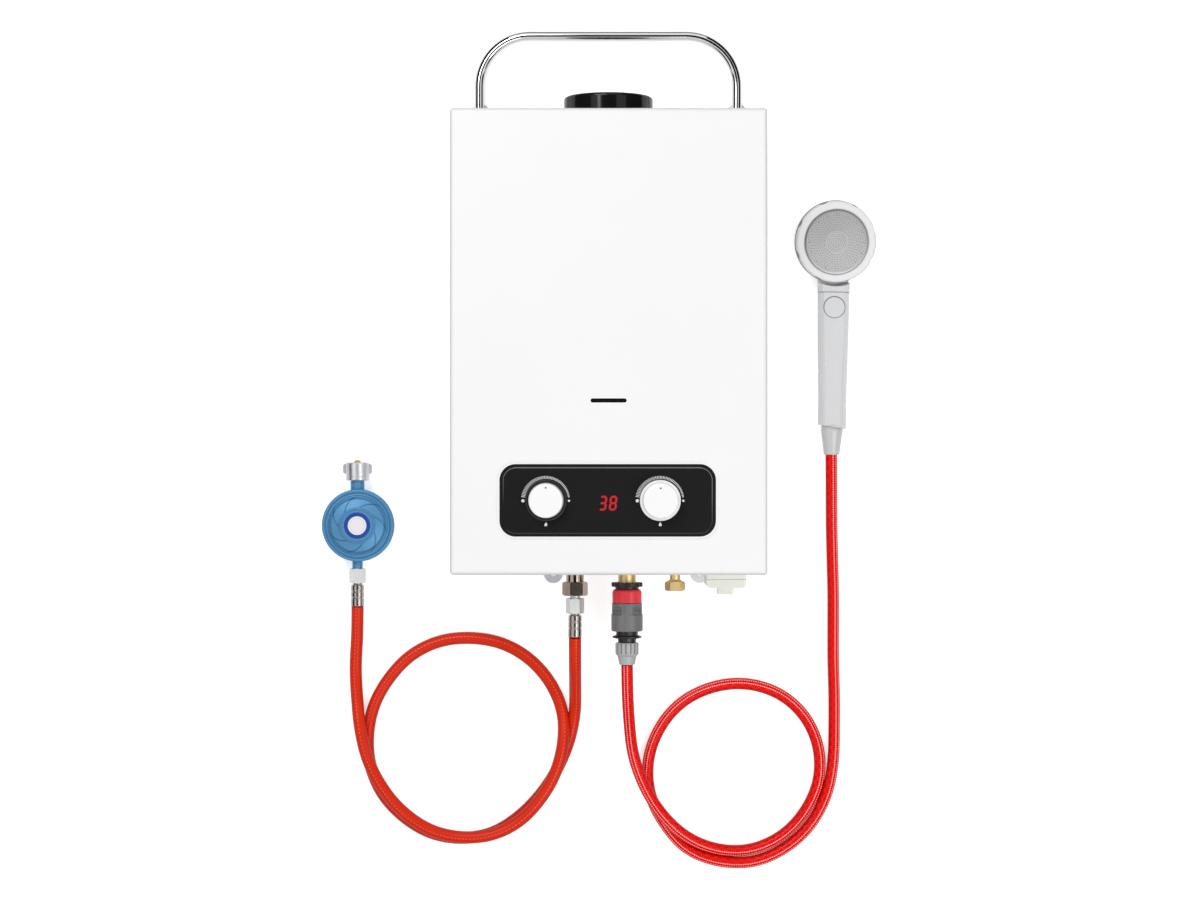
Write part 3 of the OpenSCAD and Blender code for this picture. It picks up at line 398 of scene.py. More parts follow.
@dataclass(frozen=True)
class Flaked(Finish):
    """Metallic lacquer with fine flakes, and painted shade along the cover's groove lines; sizes in
    millimetres and degrees.

    Each swirl groove is an arc of one radius about a centre on a circle round the middle.
    """

    centre: Triple = (0, 0, 0)
    arcs: int = 7
    first: float = 10.0
    offset: float = 14.0
    radius: float = 19.7
    middle: float = 82.0
    spread: float = 42.0
    band: Pair = (18.9, 30.5)
    arc_half: float = 0.5
    valleys: Triple = (19.0, 30.9, 33.7)
    valley_half: float = 0.45
    valley_shade: float = 0.8
    above: float = 28.5
    dark: float = 0.3
    depth: float = 0.4

    def painted_groove_shade(self, kit: ShaderKit) -> Val:
        """Mask of painted shade: 1 in each swirl groove, less in the ring valleys, 0 elsewhere."""
        x, y, z = kit.axes(self.centre)
        far = reach(x, y)
        total: Any = 0.0
        for index in range(self.arcs):
            turn = math.radians(self.first + index * 360.0 / self.arcs)
            aim = turn + math.radians(self.middle)
            dx, dy = x - self.offset * math.cos(turn), y - self.offset * math.sin(turn)
            line = reach(dx, dy).near(self.radius, self.arc_half)
            ahead = dx * math.cos(aim) + dy * math.sin(aim)
            total = total + line * (ahead > self.radius * math.cos(math.radians(self.spread)))
        total = total.clamped() * (far > self.band[0]) * (far < self.band[1])
        for radius in self.valleys:
            total = total + far.near(radius, self.valley_half) * self.valley_shade
        return total.clamped() * (z > self.above)

    def dress(self, kit: ShaderKit) -> None:
        """Flakes of several shades in a blue ground."""
        flakes = kit.noise(5200.0, 1)
        pale = tuple(c * 1.5 + 0.03 for c in self.colour)
        ground = kit.mix((flakes * 2.2 - 0.7).clamped(), self.colour, pale)
        # painted shade in the swirl grooves and ring valleys darkens the flaked ground
        kit.set(Base_Color=kit.mix(self.painted_groove_shade(kit) * self.depth, ground, self.tint(self.dark)),
                Metallic=0.4)
        kit.set(Coat_Weight=0.12, Coat_Roughness=0.3, Specular_IOR_Level=0.3)
        kit.set(Roughness=self.gloss(kit, 0.12, 35.0))
        kit.bump(kit.noise(1400.0, 2), 0.25, 0.03)


@dataclass(frozen=True)
class Badge(Finish):
    """Round disc: a ring of colour round a white field; sizes in millimetres."""

    centre: Triple = (0, 0, 0)
    field_radius: float = 9.7
    circle_radius: float = 7.6
    circle_half: float = 0.18
    field: Triple = (0.80, 0.78, 0.82)
    circle: Triple = (0.30, 0.34, 0.48)

    def dress(self, kit: ShaderKit) -> None:
        """Blue rim, white middle with a thin grey circle."""
        x, y, _ = kit.axes(self.centre)
        far = reach(x, y)
        white = kit.mix(far.near(self.circle_radius, self.circle_half) * 0.5, self.field, self.circle)
        kit.set(Base_Color=kit.mix(far > self.field_radius, white, self.colour), Roughness=self.rough)
        kit.set(Coat_Weight=0.5, Coat_Roughness=0.1)
        kit.bump(kit.noise(800.0, 2), 0.1, 0.02)


@dataclass(frozen=True)
class SprayFace(Finish):
    """Spun stainless face with circles pressed into its middle; sizes in millimetres."""

    centre: Triple = (0, 0, 0)
    middle: float = 10.9
    start: float = 0.9
    pitch: float = 2.0
    line: float = 0.13
    line_depth: float = 0.3
    lathe: float = 9.0
    pale: float = 1.18
    pale_share: float = 0.8

    def dress(self, kit: ShaderKit) -> None:
        """Circular brushing, and darker lines on a lighter middle."""
        x, y, _ = kit.axes(self.centre)
        far = reach(x, y)
        inside = far < self.middle
        spun = kit.node("TexNoise", {"noise_dimensions": "1D"}, None, far * self.lathe,
                        Scale=1.0, Detail=4.0)
        pressed = ((far - self.start) / self.pitch).cycle().near(0.5, self.line) * inside
        cloud = kit.noise(28.0, 3)
        ground = kit.mix((spun * 0.5 + cloud * 0.7 - 0.1).clamped(), self.colour, self.tint(0.78))
        ground = kit.mix(inside * self.pale_share, ground, self.tint(self.pale))
        kit.set(Base_Color=kit.mix(pressed * self.line_depth, ground, self.tint(0.3)))
        kit.set(Metallic=0.85, Roughness=self.rough + spun * 0.1)
        kit.bump(spun, 0.3, 0.02)


@dataclass(frozen=True)
class Panel(Finish):
    """Gloss black acrylic with a painted highlight along its bevel, brightest towards the top; sizes in
    millimetres.
    """

    centre: Triple = (0, 0, 0)
    half: Pair = (105.0, 32.7)
    corner: float = 12.7
    highlight_half: float = 0.42
    line: Triple = (0.16, 0.16, 0.165)
    lean: float = 0.12
    highlight_fade: float = 40.0
    level: float = 0.45

    def dress(self, kit: ShaderKit) -> None:
        """Distance to the bevel's rounded rectangle gives the painted highlight line."""
        x, y, _ = kit.axes(self.centre)
        along, up = x.size() - (self.half[0] - self.corner), y.size() - (self.half[1] - self.corner)
        along, up = (along + along.size()) * 0.5, (up + up.size()) * 0.5
        bevel = reach(along, up).near(self.corner, self.highlight_half)
        # painted highlight on the bevel, brighter towards the top and a little to the right
        light = ((y + x * self.lean) / self.highlight_fade + self.level).clamped()
        kit.set(Base_Color=kit.mix(bevel * light, self.shades(kit, 0.1, 20.0), self.line))
        kit.set(Roughness=self.gloss(kit, 0.06, 40.0, 3), Coat_Weight=0.35, Coat_Roughness=0.08)
        kit.bump(kit.noise(700.0, 2), 0.1, 0.01)


@dataclass(frozen=True)
class Lit(Finish):
    """Segments of a display that is switched on."""

    glow: float = 0.12

    def dress(self, kit: ShaderKit) -> None:
        """Red plastic that gives off a little light."""
        kit.set(Base_Color=self.shades(kit, 0.25, 700.0), Roughness=self.rough)
        kit.set(Emission_Color=(*self.colour, 1.0), Emission_Strength=self.glow)


@dataclass(frozen=True)
class HoseSkin(Finish):
    """Finish of a hose, with painted shade at its flanks and below.

    U runs round the hose, from 0 to 1, and V along it in metres.
    """

    top: float = 0.25
    unshaded_half: float = 0.12
    steep: float = 11.0

    def ground(self, kit: ShaderKit, u: Val, scale: float, share: float) -> Val:
        """Colour with painted shade that darkens away from the top.

        Args:
            kit: The material's tree.
            u: How far round the hose a place is.
            scale: Lumps a metre.
            share: What is left of the colour in the painted shade.

        Returns:
            The colour.
        """
        # painted shade on the flanks and underside, outside a band along the top
        painted_flank_shade = (((u - self.top).size() - self.unshaded_half) * self.steep).clamped()
        return kit.mix(painted_flank_shade * 0.7, self.shades(kit, 0.16, scale), self.tint(share))


@dataclass(frozen=True)
class HoseRubber(HoseSkin):
    """Smooth extruded rubber with faint lengthwise drawing lines."""

    dots: float = 260.0
    dots_at: float = 0.22
    dots_half: float = 0.010
    ink: Triple = (0.9, 0.5, 0.4)

    def dress(self, kit: ShaderKit) -> None:
        """Lines and a printed dotted line that follow the hose."""
        u, v, _ = kit.parts("UV")
        drawn = kit.node("CombineXYZ", {}, u * 60.0, v * 1.5, 0.0)
        lines = kit.node("TexNoise", {"noise_dimensions": "2D"}, drawn, Scale=1.0, Detail=3.0)
        dotted = ((v * self.dots).cycle() < 0.5) * u.near(self.dots_at, self.dots_half)
        kit.set(Base_Color=kit.mix(dotted * 0.22, self.ground(kit, u, 60.0, 0.4), self.ink))
        kit.set(Roughness=self.rough + lines * 0.1, Specular_IOR_Level=0.16)
        kit.bump(lines, 0.25, 0.06)


@dataclass(frozen=True)
class BraidedHose(HoseSkin):
    """Clear sleeve over a red lining with a crossed yarn braid and two dotted lines of painted highlight.
    """

    yarn: Triple = (0.95, 0.10, 0.08)
    ends: float = 5.0
    twist: float = 110.0
    yarn_half: float = 0.11
    painted_highlight: Triple = (1.0, 0.66, 0.62)
    dots: float = 420.0
    dots_at: float = 0.29
    highlight_apart: float = 0.045
    dots_half: float = 0.013

    def dress(self, kit: ShaderKit) -> None:
        """Two families of yarns that wind opposite ways along the hose."""
        u, v, _ = kit.parts("UV")
        left = (u * self.ends + v * self.twist).cycle().near(0.5, self.yarn_half)
        right = (u * self.ends - v * self.twist).cycle().near(0.5, self.yarn_half)
        yarns = (left + right).clamped()
        # painted highlight: two dotted pale lines either side of the hose's top
        highlight_lines = (u - self.dots_at).size().near(self.highlight_apart, self.dots_half)
        dotted = ((v * self.dots).cycle() < 0.6) * highlight_lines
        braided = kit.mix(yarns * 0.14, self.ground(kit, u, 50.0, 0.45), self.yarn)
        kit.set(Base_Color=kit.mix(dotted * 0.75, braided, self.painted_highlight))
        kit.set(Roughness=self.rough - yarns * 0.1, Specular_IOR_Level=0.08)
        kit.set(Coat_Weight=0.05, Coat_Roughness=0.04)
        kit.bump(yarns, 0.4, 0.12)


REGULATOR = (-261.7, -188.0, 0)  # its middle in millimetres
FINISHES: dict[str, Finish] = {finish.name: finish for finish in (
    Enamel("white_enamel", (0.87, 0.87, 0.88), 0.34),
    CasingEnamel("casing_enamel", (0.87, 0.87, 0.88), 0.34),
    Metal("galvanised", (0.82, 0.86, 0.90), 0.42, worked=Worked.SPANGLED),
    Metal("chrome", (0.74, 0.74, 0.75), 0.02, tarnish=0.03),
    Metal("zinc_steel", (0.62, 0.63, 0.65), 0.3, worked=Worked.CAST),
    Enamel("black_enamel", (0.007, 0.007, 0.0075), 0.12, coat=0.25, shine=0.15),
    Metal("copper", (0.72, 0.38, 0.24), 0.28, tarnish=0.3),
    Metal("stainless", (0.55, 0.55, 0.54), 0.3, worked=Worked.BRUSHED, along=(1, 0.1, 1)),
    Metal("cast_aluminium", (0.6, 0.6, 0.61), 0.42, worked=Worked.CAST),
    Moulded("porcelain", (0.86, 0.85, 0.80), 0.15, grain=0.01, coat=0.6),
    Moulded("dark_plastic", (0.03, 0.03, 0.033), 0.5),
    Metal("brass", (0.88, 0.67, 0.31), 0.36, worked=Worked.TURNED, tarnish=0.2, along=(0.1, 1, 0.1)),
    Moulded("circuit_board", (0.02, 0.17, 0.07), 0.3, coat=0.5),
    Moulded("dark_glass", (0.008, 0.008, 0.01), 0.08, grain=0.004, coat=0.8),
    Panel("panel_gloss", (0.013, 0.013, 0.014), 0.2, centre=(-0.9, -159.8, 0)),
    Lit("red_display", (0.56, 0.010, 0.022), 0.3),
    Moulded("ring_grey", (0.018, 0.018, 0.019), 0.32),
    Moulded("knob_white", (0.9, 0.9, 0.9), 0.32, grain=0.01, coat=0.25, soft=0.05),
    Moulded("ivory_plastic", (0.95, 0.965, 0.87), 0.35, coat=0.2, soft=0.15),
    Metal("battery_steel", (0.5, 0.51, 0.53), 0.25, worked=Worked.BRUSHED),
    Moulded("connector_black", (0.014, 0.014, 0.015), 0.38, grain=0.05),
    Moulded("connector_red", (0.80, 0.030, 0.045), 0.36, grain=0.05),
    Moulded("connector_grey", (0.15, 0.15, 0.155), 0.42, grain=0.05),
    Moulded("hose_nut_grey", (0.40, 0.41, 0.415), 0.36, grain=0.05),
    BraidedHose("shower_hose_red", (0.80, 0.002, 0.001), 0.3),
    Metal("nickel", (0.50, 0.42, 0.36), 0.12, tarnish=0.3),
    Metal("zinc_plate", (0.78, 0.80, 0.79), 0.4, worked=Worked.CAST),
    Metal("plated_nut", (0.74, 0.755, 0.775), 0.3, worked=Worked.CAST),
    Metal("ferrule_steel", (0.46, 0.425, 0.395), 0.2, tarnish=0.1),
    HoseRubber("gas_hose_orange", (0.70, 0.024, 0.003), 0.3),
    Flaked("regulator_blue", (0.058, 0.205, 0.375), 0.5, centre=REGULATOR),
    Badge("badge_blue", (0.012, 0.06, 0.34), 0.3, centre=REGULATOR),
    Moulded("handset_white", (0.67, 0.675, 0.685), 0.26, grain=0.01, coat=0.3, soft=0.08),
    HandsetShell("handset_shell", (0.67, 0.675, 0.685), 0.26, grain=0.01, coat=0.3, soft=0.08),
    Moulded("handset_grey", (0.28, 0.28, 0.285), 0.35),
    Moulded("handset_ring_white", (0.75, 0.75, 0.755), 0.4, grain=0.01),
    SprayFace("spray_steel", (0.35, 0.35, 0.355), 0.34, centre=(238.6, 107.9, 0)),
    Moulded("cone_grey", (0.55, 0.555, 0.56), 0.3, grain=0.01, coat=0.2),
    Moulded("print_white", (0.85, 0.85, 0.85), 0.5, grain=0.004),
    Moulded("spray_hole", (0.045, 0.045, 0.05), 0.5, grain=0.004),
)}


class Paintbox:
    """Finished materials by slot name, built when first asked for."""

    def __init__(self) -> None:
        """Starts empty."""
        self.built: dict[str, Material] = {}

    def get(self, slot: str) -> Material:
        """Material of a slot.

        Args:
            slot: A key of FINISHES.

        Returns:
            The material.
        """
        if slot not in self.built:
            self.built[slot] = FINISHES[slot].build()
        return self.built[slot]

    def dress(self, obj: Object, slot: str) -> None:
        """Gives an object that one material."""
        obj.data.materials.clear()
        obj.data.materials.append(self.get(slot))


PAINT = Paintbox()


# ---- meshes


def new_object(name: str, mesh: Mesh) -> Object:
    """Links a mesh to the scene under that name."""
    mesh.name = name
    obj = bpy.data.objects.new(name, mesh)
    bpy.context.scene.collection.objects.link(obj)
    return obj


def closed(made: BMesh, name: str) -> Mesh:
    """Turns a finished body's faces outward and writes it to a mesh of that name."""
    bmesh.ops.recalc_face_normals(made, faces=made.faces[:])
    mesh = bpy.data.meshes.new(name)
    made.to_mesh(mesh)
    made.free()
    return mesh


def smooth(obj: Object, angle: float) -> None:
    """Shades an object smooth, apart from edges sharper than an angle in degrees."""
    mesh = obj.data
    mesh.polygons.foreach_set("use_smooth", [True] * len(mesh.polygons))
    mesh.set_sharp_from_angle(angle=math.radians(angle))


class Hose:
    """A round hose along a route."""

    softenings: ClassVar[int] = 6

    def __init__(self, route: Sequence[Sequence[float]], diameter: float, per_span: int = 7) -> None:
        """Rounds the route into a fine centre line.

        Args:
            route: Points that the hose runs through, in metres.
            diameter: Outer diameter in metres.
            per_span: Fine points between two route points.
        """
        self.diameter = diameter
        knots = [Vector(p) for p in route]
        first, last = knots[0].copy(), knots[-1].copy()
        first.y = knots[0].y + math.copysign((knots[0] - knots[1]).length, knots[0].y - knots[1].y)
        last.y = knots[-1].y + (knots[-1] - knots[-2]).length
        run = [first, *knots, last]
        line: list[Vector] = []
        for a, b, c, d in zip(run, run[1:], run[2:], run[3:]):
            for step in range(per_span):
                t = step / per_span
                line.append(0.5 * (2 * b + (c - a) * t + (2 * a - 5 * b + 4 * c - d) * t * t
                                   + (3 * b - a - 3 * c + d) * t ** 3))
        line.append(knots[-1])
        for _ in range(self.softenings):
            line = [line[0], *((p + 2 * q + r) / 4 for p, q, r in zip(line, line[1:], line[2:])), line[-1]]
        self.line = line
        self.length = sum((q - p).length for p, q in zip(line, line[1:]))

    def mesh(self, sides: int = 28) -> Mesh:
        """Tube with a UV map: U round the hose, V along it in metres.

        Args:
            sides: Faces round the hose.

        Returns:
            The closed mesh.
        """
        made = bmesh.new()
        uv = made.loops.layers.uv.new("UVMap")
        rings, runs, across = [], [], Vector((1, 0, 0))
        for index, point in enumerate(self.line):
            ahead = self.line[min(index + 1, len(self.line) - 1)] - self.line[max(index - 1, 0)]
            ahead.normalize()
            across = (across - ahead * across.dot(ahead)).normalized()
            over = ahead.cross(across)
            ring = []
            for k in range(sides):
                a = 2 * math.pi * k / sides
                aside = across * math.cos(a) + over * math.sin(a)
                ring.append(made.verts.new(point + aside * self.diameter / 2))
            rings.append(ring)
            runs.append(runs[-1] + (point - self.line[index - 1]).length if index else 0.0)
        for i in range(len(rings) - 1):
            for k in range(sides):
                n = (k + 1) % sides
                face = made.faces.new((rings[i][k], rings[i][n], rings[i + 1][n], rings[i + 1][k]))
                places = ((k, i), (k + 1, i), (k + 1, i + 1), (k, i + 1))
                for loop, (u, v) in zip(face.loops, places):
                    loop[uv].uv = (u / sides, runs[v])
        made.faces.new(list(reversed(rings[0])))
        made.faces.new(rings[-1])
        return closed(made, "hose")


# ---- geometry nodes


class Repeater:
    """A Geometry Nodes tree that repeats one small shape, and the plain mesh that it makes."""

    def __init__(self, name: str, sizes: dict[str, float]) -> None:
        """Makes a tree with named number inputs.

        Args:
            name: Name of the tree.
            sizes: Name and value of each input.
        """
        self.name = name
        self.sizes = sizes
        self.tree = bpy.data.node_groups.new(name, "GeometryNodeTree")
        self.tree.interface.new_socket("Geometry", in_out="INPUT", socket_type="NodeSocketGeometry")
        for key in sizes:
            self.tree.interface.new_socket(key, in_out="INPUT", socket_type="NodeSocketFloat")
        self.tree.interface.new_socket("Geometry", in_out="OUTPUT", socket_type="NodeSocketGeometry")
        self.inputs = self.tree.nodes.new("NodeGroupInput")
        self.outputs = self.tree.nodes.new("NodeGroupOutput")
        self.parts: list[Any] = []

    def size(self, key: str) -> Any:
        """Output socket of a named input."""
        return self.inputs.outputs[key]

    def add(self, kind: str, settings: dict[str, Any] | None = None, out: Any = 0, **named: Any) -> Any:
        """Adds a node and fills its inputs by name, with spaces written as underscores.

        Args:
            kind: Node type.
            settings: Attributes set first.
            out: Index or name of the output that is returned.
            named: Sockets or values.

        Returns:
            The chosen output socket.
        """
        made = self.tree.nodes.new(kind)
        for key, value in (settings or {}).items():
            setattr(made, key, value)
        for key, value in named.items():
            socket = next(s for s in made.inputs if s.name == key.replace("_", " ") and s.enabled)
            self.link(value, socket)
        return made.outputs[out]

    def link(self, value: Any, socket: Any) -> None:
        """Links a socket, or sets its value."""
        if isinstance(value, NodeSocket):
            self.tree.links.new(value, socket)
        else:
            socket.default_value = value

    def maths(self, operation: str, *values: Any) -> Any:
        """One Math node on sockets or numbers."""
        made = self.tree.nodes.new("ShaderNodeMath")
        made.operation = operation
        for socket, value in zip(made.inputs, values):
            self.link(value, socket)
        return made.outputs[0]

    def vector(self, x: Any, y: Any, z: Any) -> Any:
        """Vector from three sockets or numbers."""
        return self.add("ShaderNodeCombineXYZ", X=x, Y=y, Z=z)

    def make(self, slot: str) -> Object:
        """Joins the parts, realises them and returns a plain mesh object.

        Args:
            slot: Finish of the result.

        Returns:
            The finished object, at the origin.
        """
        join = self.tree.nodes.new("GeometryNodeJoinGeometry")
        for part in reversed(self.parts):
            self.tree.links.new(part, join.inputs[0])
        real = self.add("GeometryNodeRealizeInstances", Geometry=join.outputs[0])
        last = self.add("GeometryNodeSetMaterial", Geometry=real, Material=PAINT.get(slot))
        self.tree.links.new(last, self.outputs.inputs[0])
        host = new_object(self.name + "_host", bpy.data.meshes.new("host"))
        modifier = host.modifiers.new("repeat", "NODES")
        modifier.node_group = self.tree
        for item in self.tree.interface.items_tree:
            if item.in_out == "INPUT" and item.name in self.sizes:
                modifier[item.identifier] = self.sizes[item.name]
        view = bpy.context.evaluated_depsgraph_get()
        mesh = bpy.data.meshes.new_from_object(host.evaluated_get(view), depsgraph=view)
        bpy.data.objects.remove(host)
        return new_object(self.name, mesh)


# ---- sub-assemblies


class Assembly:
    """A group of pieces; each kind adds its own details."""

    title: str

    def build(self) -> list[Object]:
        """Makes the details and returns them."""
        return []


@dataclass
class HoseLine(Assembly):
    """A flexible hose that takes the place of its CAD node."""

    title: str
    node: str
    slot: str
    route: Sequence[Sequence[float]]
    diameter: float
    lay: str
    fittings: Sequence[str] = ()

    def build(self) -> list[Object]:
        """Makes the hose in its CAD node's place and logs its length."""
        hose = Hose(self.route, self.diameter)
        obj = new_object(self.node + "_tube", hose.mesh())
        smooth(obj, 50)
        PAINT.dress(obj, self.slot)
        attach(obj, "casing")
        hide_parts(self.node)
        path = [tuple(p) for p in hose.line[::2]] + [tuple(hose.line[-1])]
        LOG.info("%s is %.3f m long", self.title, hose.length)
        return [obj]


GAS_ROUTE = (
    (-0.0344, -0.302, 0.065), (-0.0344, -0.332, 0.053), (-0.0344, -0.357, 0.032), (-0.035, -0.384, 0.013),
    (-0.041, -0.415, 0.007), (-0.054, -0.446, 0.0065), (-0.072, -0.473, 0.0065), (-0.095, -0.496, 0.0065),
    (-0.123, -0.513, 0.0065), (-0.156, -0.518, 0.0065), (-0.188, -0.512, 0.0065), (-0.216, -0.495, 0.0065),
    (-0.238, -0.471, 0.0065), (-0.251, -0.44, 0.0065), (-0.253, -0.408, 0.0065), (-0.246, -0.376, 0.0065),
    (-0.229, -0.347, 0.0065), (-0.206, -0.324, 0.0065), (-0.176, -0.31, 0.0065), (-0.143, -0.307, 0.0065),
    (-0.111, -0.313, 0.0065), (-0.083, -0.329, 0.0065), (-0.061, -0.354, 0.0065), (-0.048, -0.384, 0.0105),
    (-0.047, -0.415, 0.019), (-0.055, -0.447, 0.02), (-0.071, -0.475, 0.02), (-0.094, -0.499, 0.02),
    (-0.124, -0.513, 0.02), (-0.157, -0.515, 0.02), (-0.188, -0.507, 0.02), (-0.216, -0.488, 0.02),
    (-0.237, -0.463, 0.02), (-0.252, -0.434, 0.02), (-0.26, -0.402, 0.0185), (-0.264, -0.371, 0.0105),
    (-0.266, -0.338, 0.007), (-0.264, -0.305, 0.0105), (-0.263, -0.273, 0.017),
)
SHOWER_ROUTE = (
    (0.0192, -0.33, 0.065), (0.02, -0.364, 0.054), (0.022, -0.395, 0.036), (0.026, -0.428, 0.0225),
    (0.038, -0.462, 0.019), (0.057, -0.492, 0.019), (0.083, -0.516, 0.015), (0.116, -0.53, 0.0065),
    (0.151, -0.53, 0.0063), (0.184, -0.515, 0.0063), (0.208, -0.489, 0.0063), (0.222, -0.456, 0.0063),
    (0.221, -0.42, 0.0063), (0.206, -0.388, 0.0063), (0.179, -0.365, 0.0063), (0.144, -0.355, 0.0063),
    (0.109, -0.359, 0.0063), (0.077, -0.375, 0.0063), (0.054, -0.402, 0.0063), (0.042, -0.436, 0.0063),
    (0.044, -0.472, 0.0063), (0.06, -0.504, 0.0063), (0.084, -0.53, 0.0063), (0.118, -0.5425, 0.0063),
    (0.154, -0.5425, 0.0063), (0.187, -0.528, 0.0063), (0.213, -0.504, 0.0063), (0.23, -0.472, 0.0063),
    (0.237, -0.437, 0.0063), (0.238, -0.401, 0.0063), (0.238, -0.365, 0.0063), (0.237, -0.33, 0.0063),
    (0.237, -0.294, 0.0063), (0.237, -0.258, 0.0063), (0.236, -0.222, 0.007), (0.235, -0.186, 0.01),
    (0.2344, -0.15, 0.015), (0.234, -0.114, 0.017),
)


@dataclass
class Dial(Assembly):
    """Printed scale round one knob: fine ticks that shrink to the right, end marks and a pictogram.

    Each end mark has its side, its corners and its radius; lengths are in metres.
    """

    title: str
    centre: Pair
    pictogram: str
    face: float = 0.1322
    radius: float = 0.0231
    ticks: float = 45.0
    start: float = 0.95 * math.pi
    sweep: float = 0.90 * math.pi
    longest: float = 0.0040
    shortest: float = 0.0018
    thin: float = 0.00016
    wide: float = 0.0006
    ends: tuple[tuple[float, int, float], ...] = ((-1.0, 24, 0.0016), (1.0, 4, 0.0014))
    ends_drop: float = 0.0004
    mark: float = 0.0215
    mark_radius: float = 0.0021
    mark_drop: float = 0.0023
    flame_lean: float = 0.0007
    mark_points: int = 40

    def build(self) -> list[Object]:
        """Prints the scale on the panel."""
        x, y = self.centre
        tree = Repeater(self.title, {"Centre X": x, "Centre Y": y, "Face": self.face,
                                     "Radius": self.radius, "Ticks": self.ticks,
                                     "Longest": self.longest, "Shortest": self.shortest})
        count = tree.size("Ticks")

        def out(centre: str, part: Any) -> Any:
            """A part of the radius out from the centre, along one axis."""
            return tree.maths("ADD", tree.size(centre), tree.maths("MULTIPLY", tree.size("Radius"), part))

        points = tree.add("GeometryNodeMeshLine", {"mode": "OFFSET"}, out="Mesh", Count=count,
                          Offset=(0, 0, 0))
        share = tree.maths("DIVIDE", tree.add("GeometryNodeInputIndex"), tree.maths("SUBTRACT", count, 1.0))
        angle = tree.maths("ADD", tree.maths("MULTIPLY", share, -self.sweep), self.start)
        spot = tree.vector(out("Centre X", tree.maths("COSINE", angle)),
                           out("Centre Y", tree.maths("SINE", angle)), tree.size("Face"))
        placed = tree.add("GeometryNodeSetPosition", Geometry=points, Position=spot)
        shrink = tree.maths("SUBTRACT", tree.size("Longest"), tree.size("Shortest"))
        long = tree.maths("SUBTRACT", tree.size("Longest"), tree.maths("MULTIPLY", share, shrink))
        bar = tree.add("GeometryNodeMeshCube", Size=(1.0, 1.0, 1.0))
        bars = tree.add("GeometryNodeInstanceOnPoints", Points=placed, Instance=bar,
                        Rotation=tree.vector(0.0, 0.0, angle),
                        Scale=tree.vector(long, self.wide, self.thin))
        tree.parts.append(bars)
        for side, corners, radius in self.ends:
            dot = tree.add("GeometryNodeMeshCylinder", {"fill_type": "NGON"}, Vertices=corners,
                           Radius=radius, Depth=self.thin)
            where = tree.vector(out("Centre X", side),
                                tree.maths("SUBTRACT", tree.size("Centre Y"), self.ends_drop),
                                tree.size("Face"))
            tree.parts.append(tree.add("GeometryNodeTransform", Geometry=dot, Translation=where,
                                       Rotation=(0.0, 0.0, math.pi / 4)))
        obj = tree.make("print_white")
        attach(obj, "casing")
        return [obj, self.sign()]

    def sign(self) -> Object:
        """Flame or drop under the knob, as a flat closed shape."""
        x, y = self.centre
        outline = []
        for k in range(self.mark_points):
            a = 2 * math.pi * k / self.mark_points
            lean = self.flame_lean * math.cos(a) ** 3 if self.pictogram == "flame" else 0.0
            outline.append((x + self.mark_radius * math.sin(a) * math.sin(a / 2) ** 1.5 + lean,
                            y - self.mark - self.mark_drop + self.mark_radius * math.cos(a)))
        made = bmesh.new()
        low = [made.verts.new((px, py, self.face - self.thin / 2)) for px, py in outline]
        high = [made.verts.new((px, py, self.face + self.thin / 2)) for px, py in outline]
        made.faces.new(low)
        made.faces.new(high)
        for k in range(self.mark_points):
            n = (k + 1) % self.mark_points
            made.faces.new((low[k], low[n], high[n], high[k]))
        obj = new_object(self.title + "_sign", closed(made, "sign"))
        PAINT.dress(obj, "print_white")
        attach(obj, "casing")
        return obj


@dataclass
class SprayHoles(Assembly):
    """Rings of fine jets in the tilted spray plate."""

    title: str = "spray_jets"
    centre: Triple = (0.23704, 0.10978, 0.017)
    tilt: Triple = (8.0, 7.0, -0.7)
    rise: float = 0.01322
    first: float = 0.0135
    step: float = 0.0024
    rings: int = 8
    pitch: float = 0.0029
    jet: float = 0.0004
    stagger: float = 2.4
    tall: float = 0.0006
    corners: int = 10

    def build(self) -> list[Object]:
        """Sets the jets ring by ring."""
        tree = Repeater(self.title, {"First": self.first, "Step": self.step, "Jet": self.jet,
                                     "Tall": self.tall})
        pin = tree.add("GeometryNodeMeshCylinder", Vertices=self.corners, Radius=tree.size("Jet"),
                       Depth=tree.size("Tall"))
        for ring in range(self.rings):
            far = self.first + ring * self.step
            around = tree.maths("ADD", tree.size("First"),
                                tree.maths("MULTIPLY", tree.size("Step"), float(ring)))
            circle = tree.add("GeometryNodeMeshCircle", Radius=around,
                              Vertices=int(2 * math.pi * far / self.pitch))
            jets = tree.add("GeometryNodeInstanceOnPoints", Points=circle, Instance=pin)
            tree.parts.append(tree.add("GeometryNodeTransform", Geometry=jets,
                                       Rotation=(0.0, 0.0, ring * self.stagger)))
        obj = tree.make("spray_hole")
        turn = Euler([math.radians(a) for a in self.tilt]).to_matrix().to_4x4()
        obj.data.transform(Matrix.Translation(self.centre) @ turn @ Matrix.Translation((0, 0, self.rise)))
        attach(obj, "casing")
        return [obj]


@dataclass
class KnobMark(Assembly):
    """Painted dot in the recess of a knob's face."""

    title: str
    body: str
    place: Triple
    radius: float = 0.00105
    thin: float = 0.0003
    corners: int = 20

    def build(self) -> list[Object]:
        """Makes the dot, which turns with the knob."""
        made = bmesh.new()
        bmesh.ops.create_cone(made, cap_ends=True, segments=self.corners, radius1=self.radius,
                              radius2=self.radius, depth=self.thin,
                              matrix=Matrix.Translation(self.place))
        obj = new_object(self.title, closed(made, self.title))
        PAINT.dress(obj, "dark_plastic")
        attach(obj, self.body)
        return [obj]


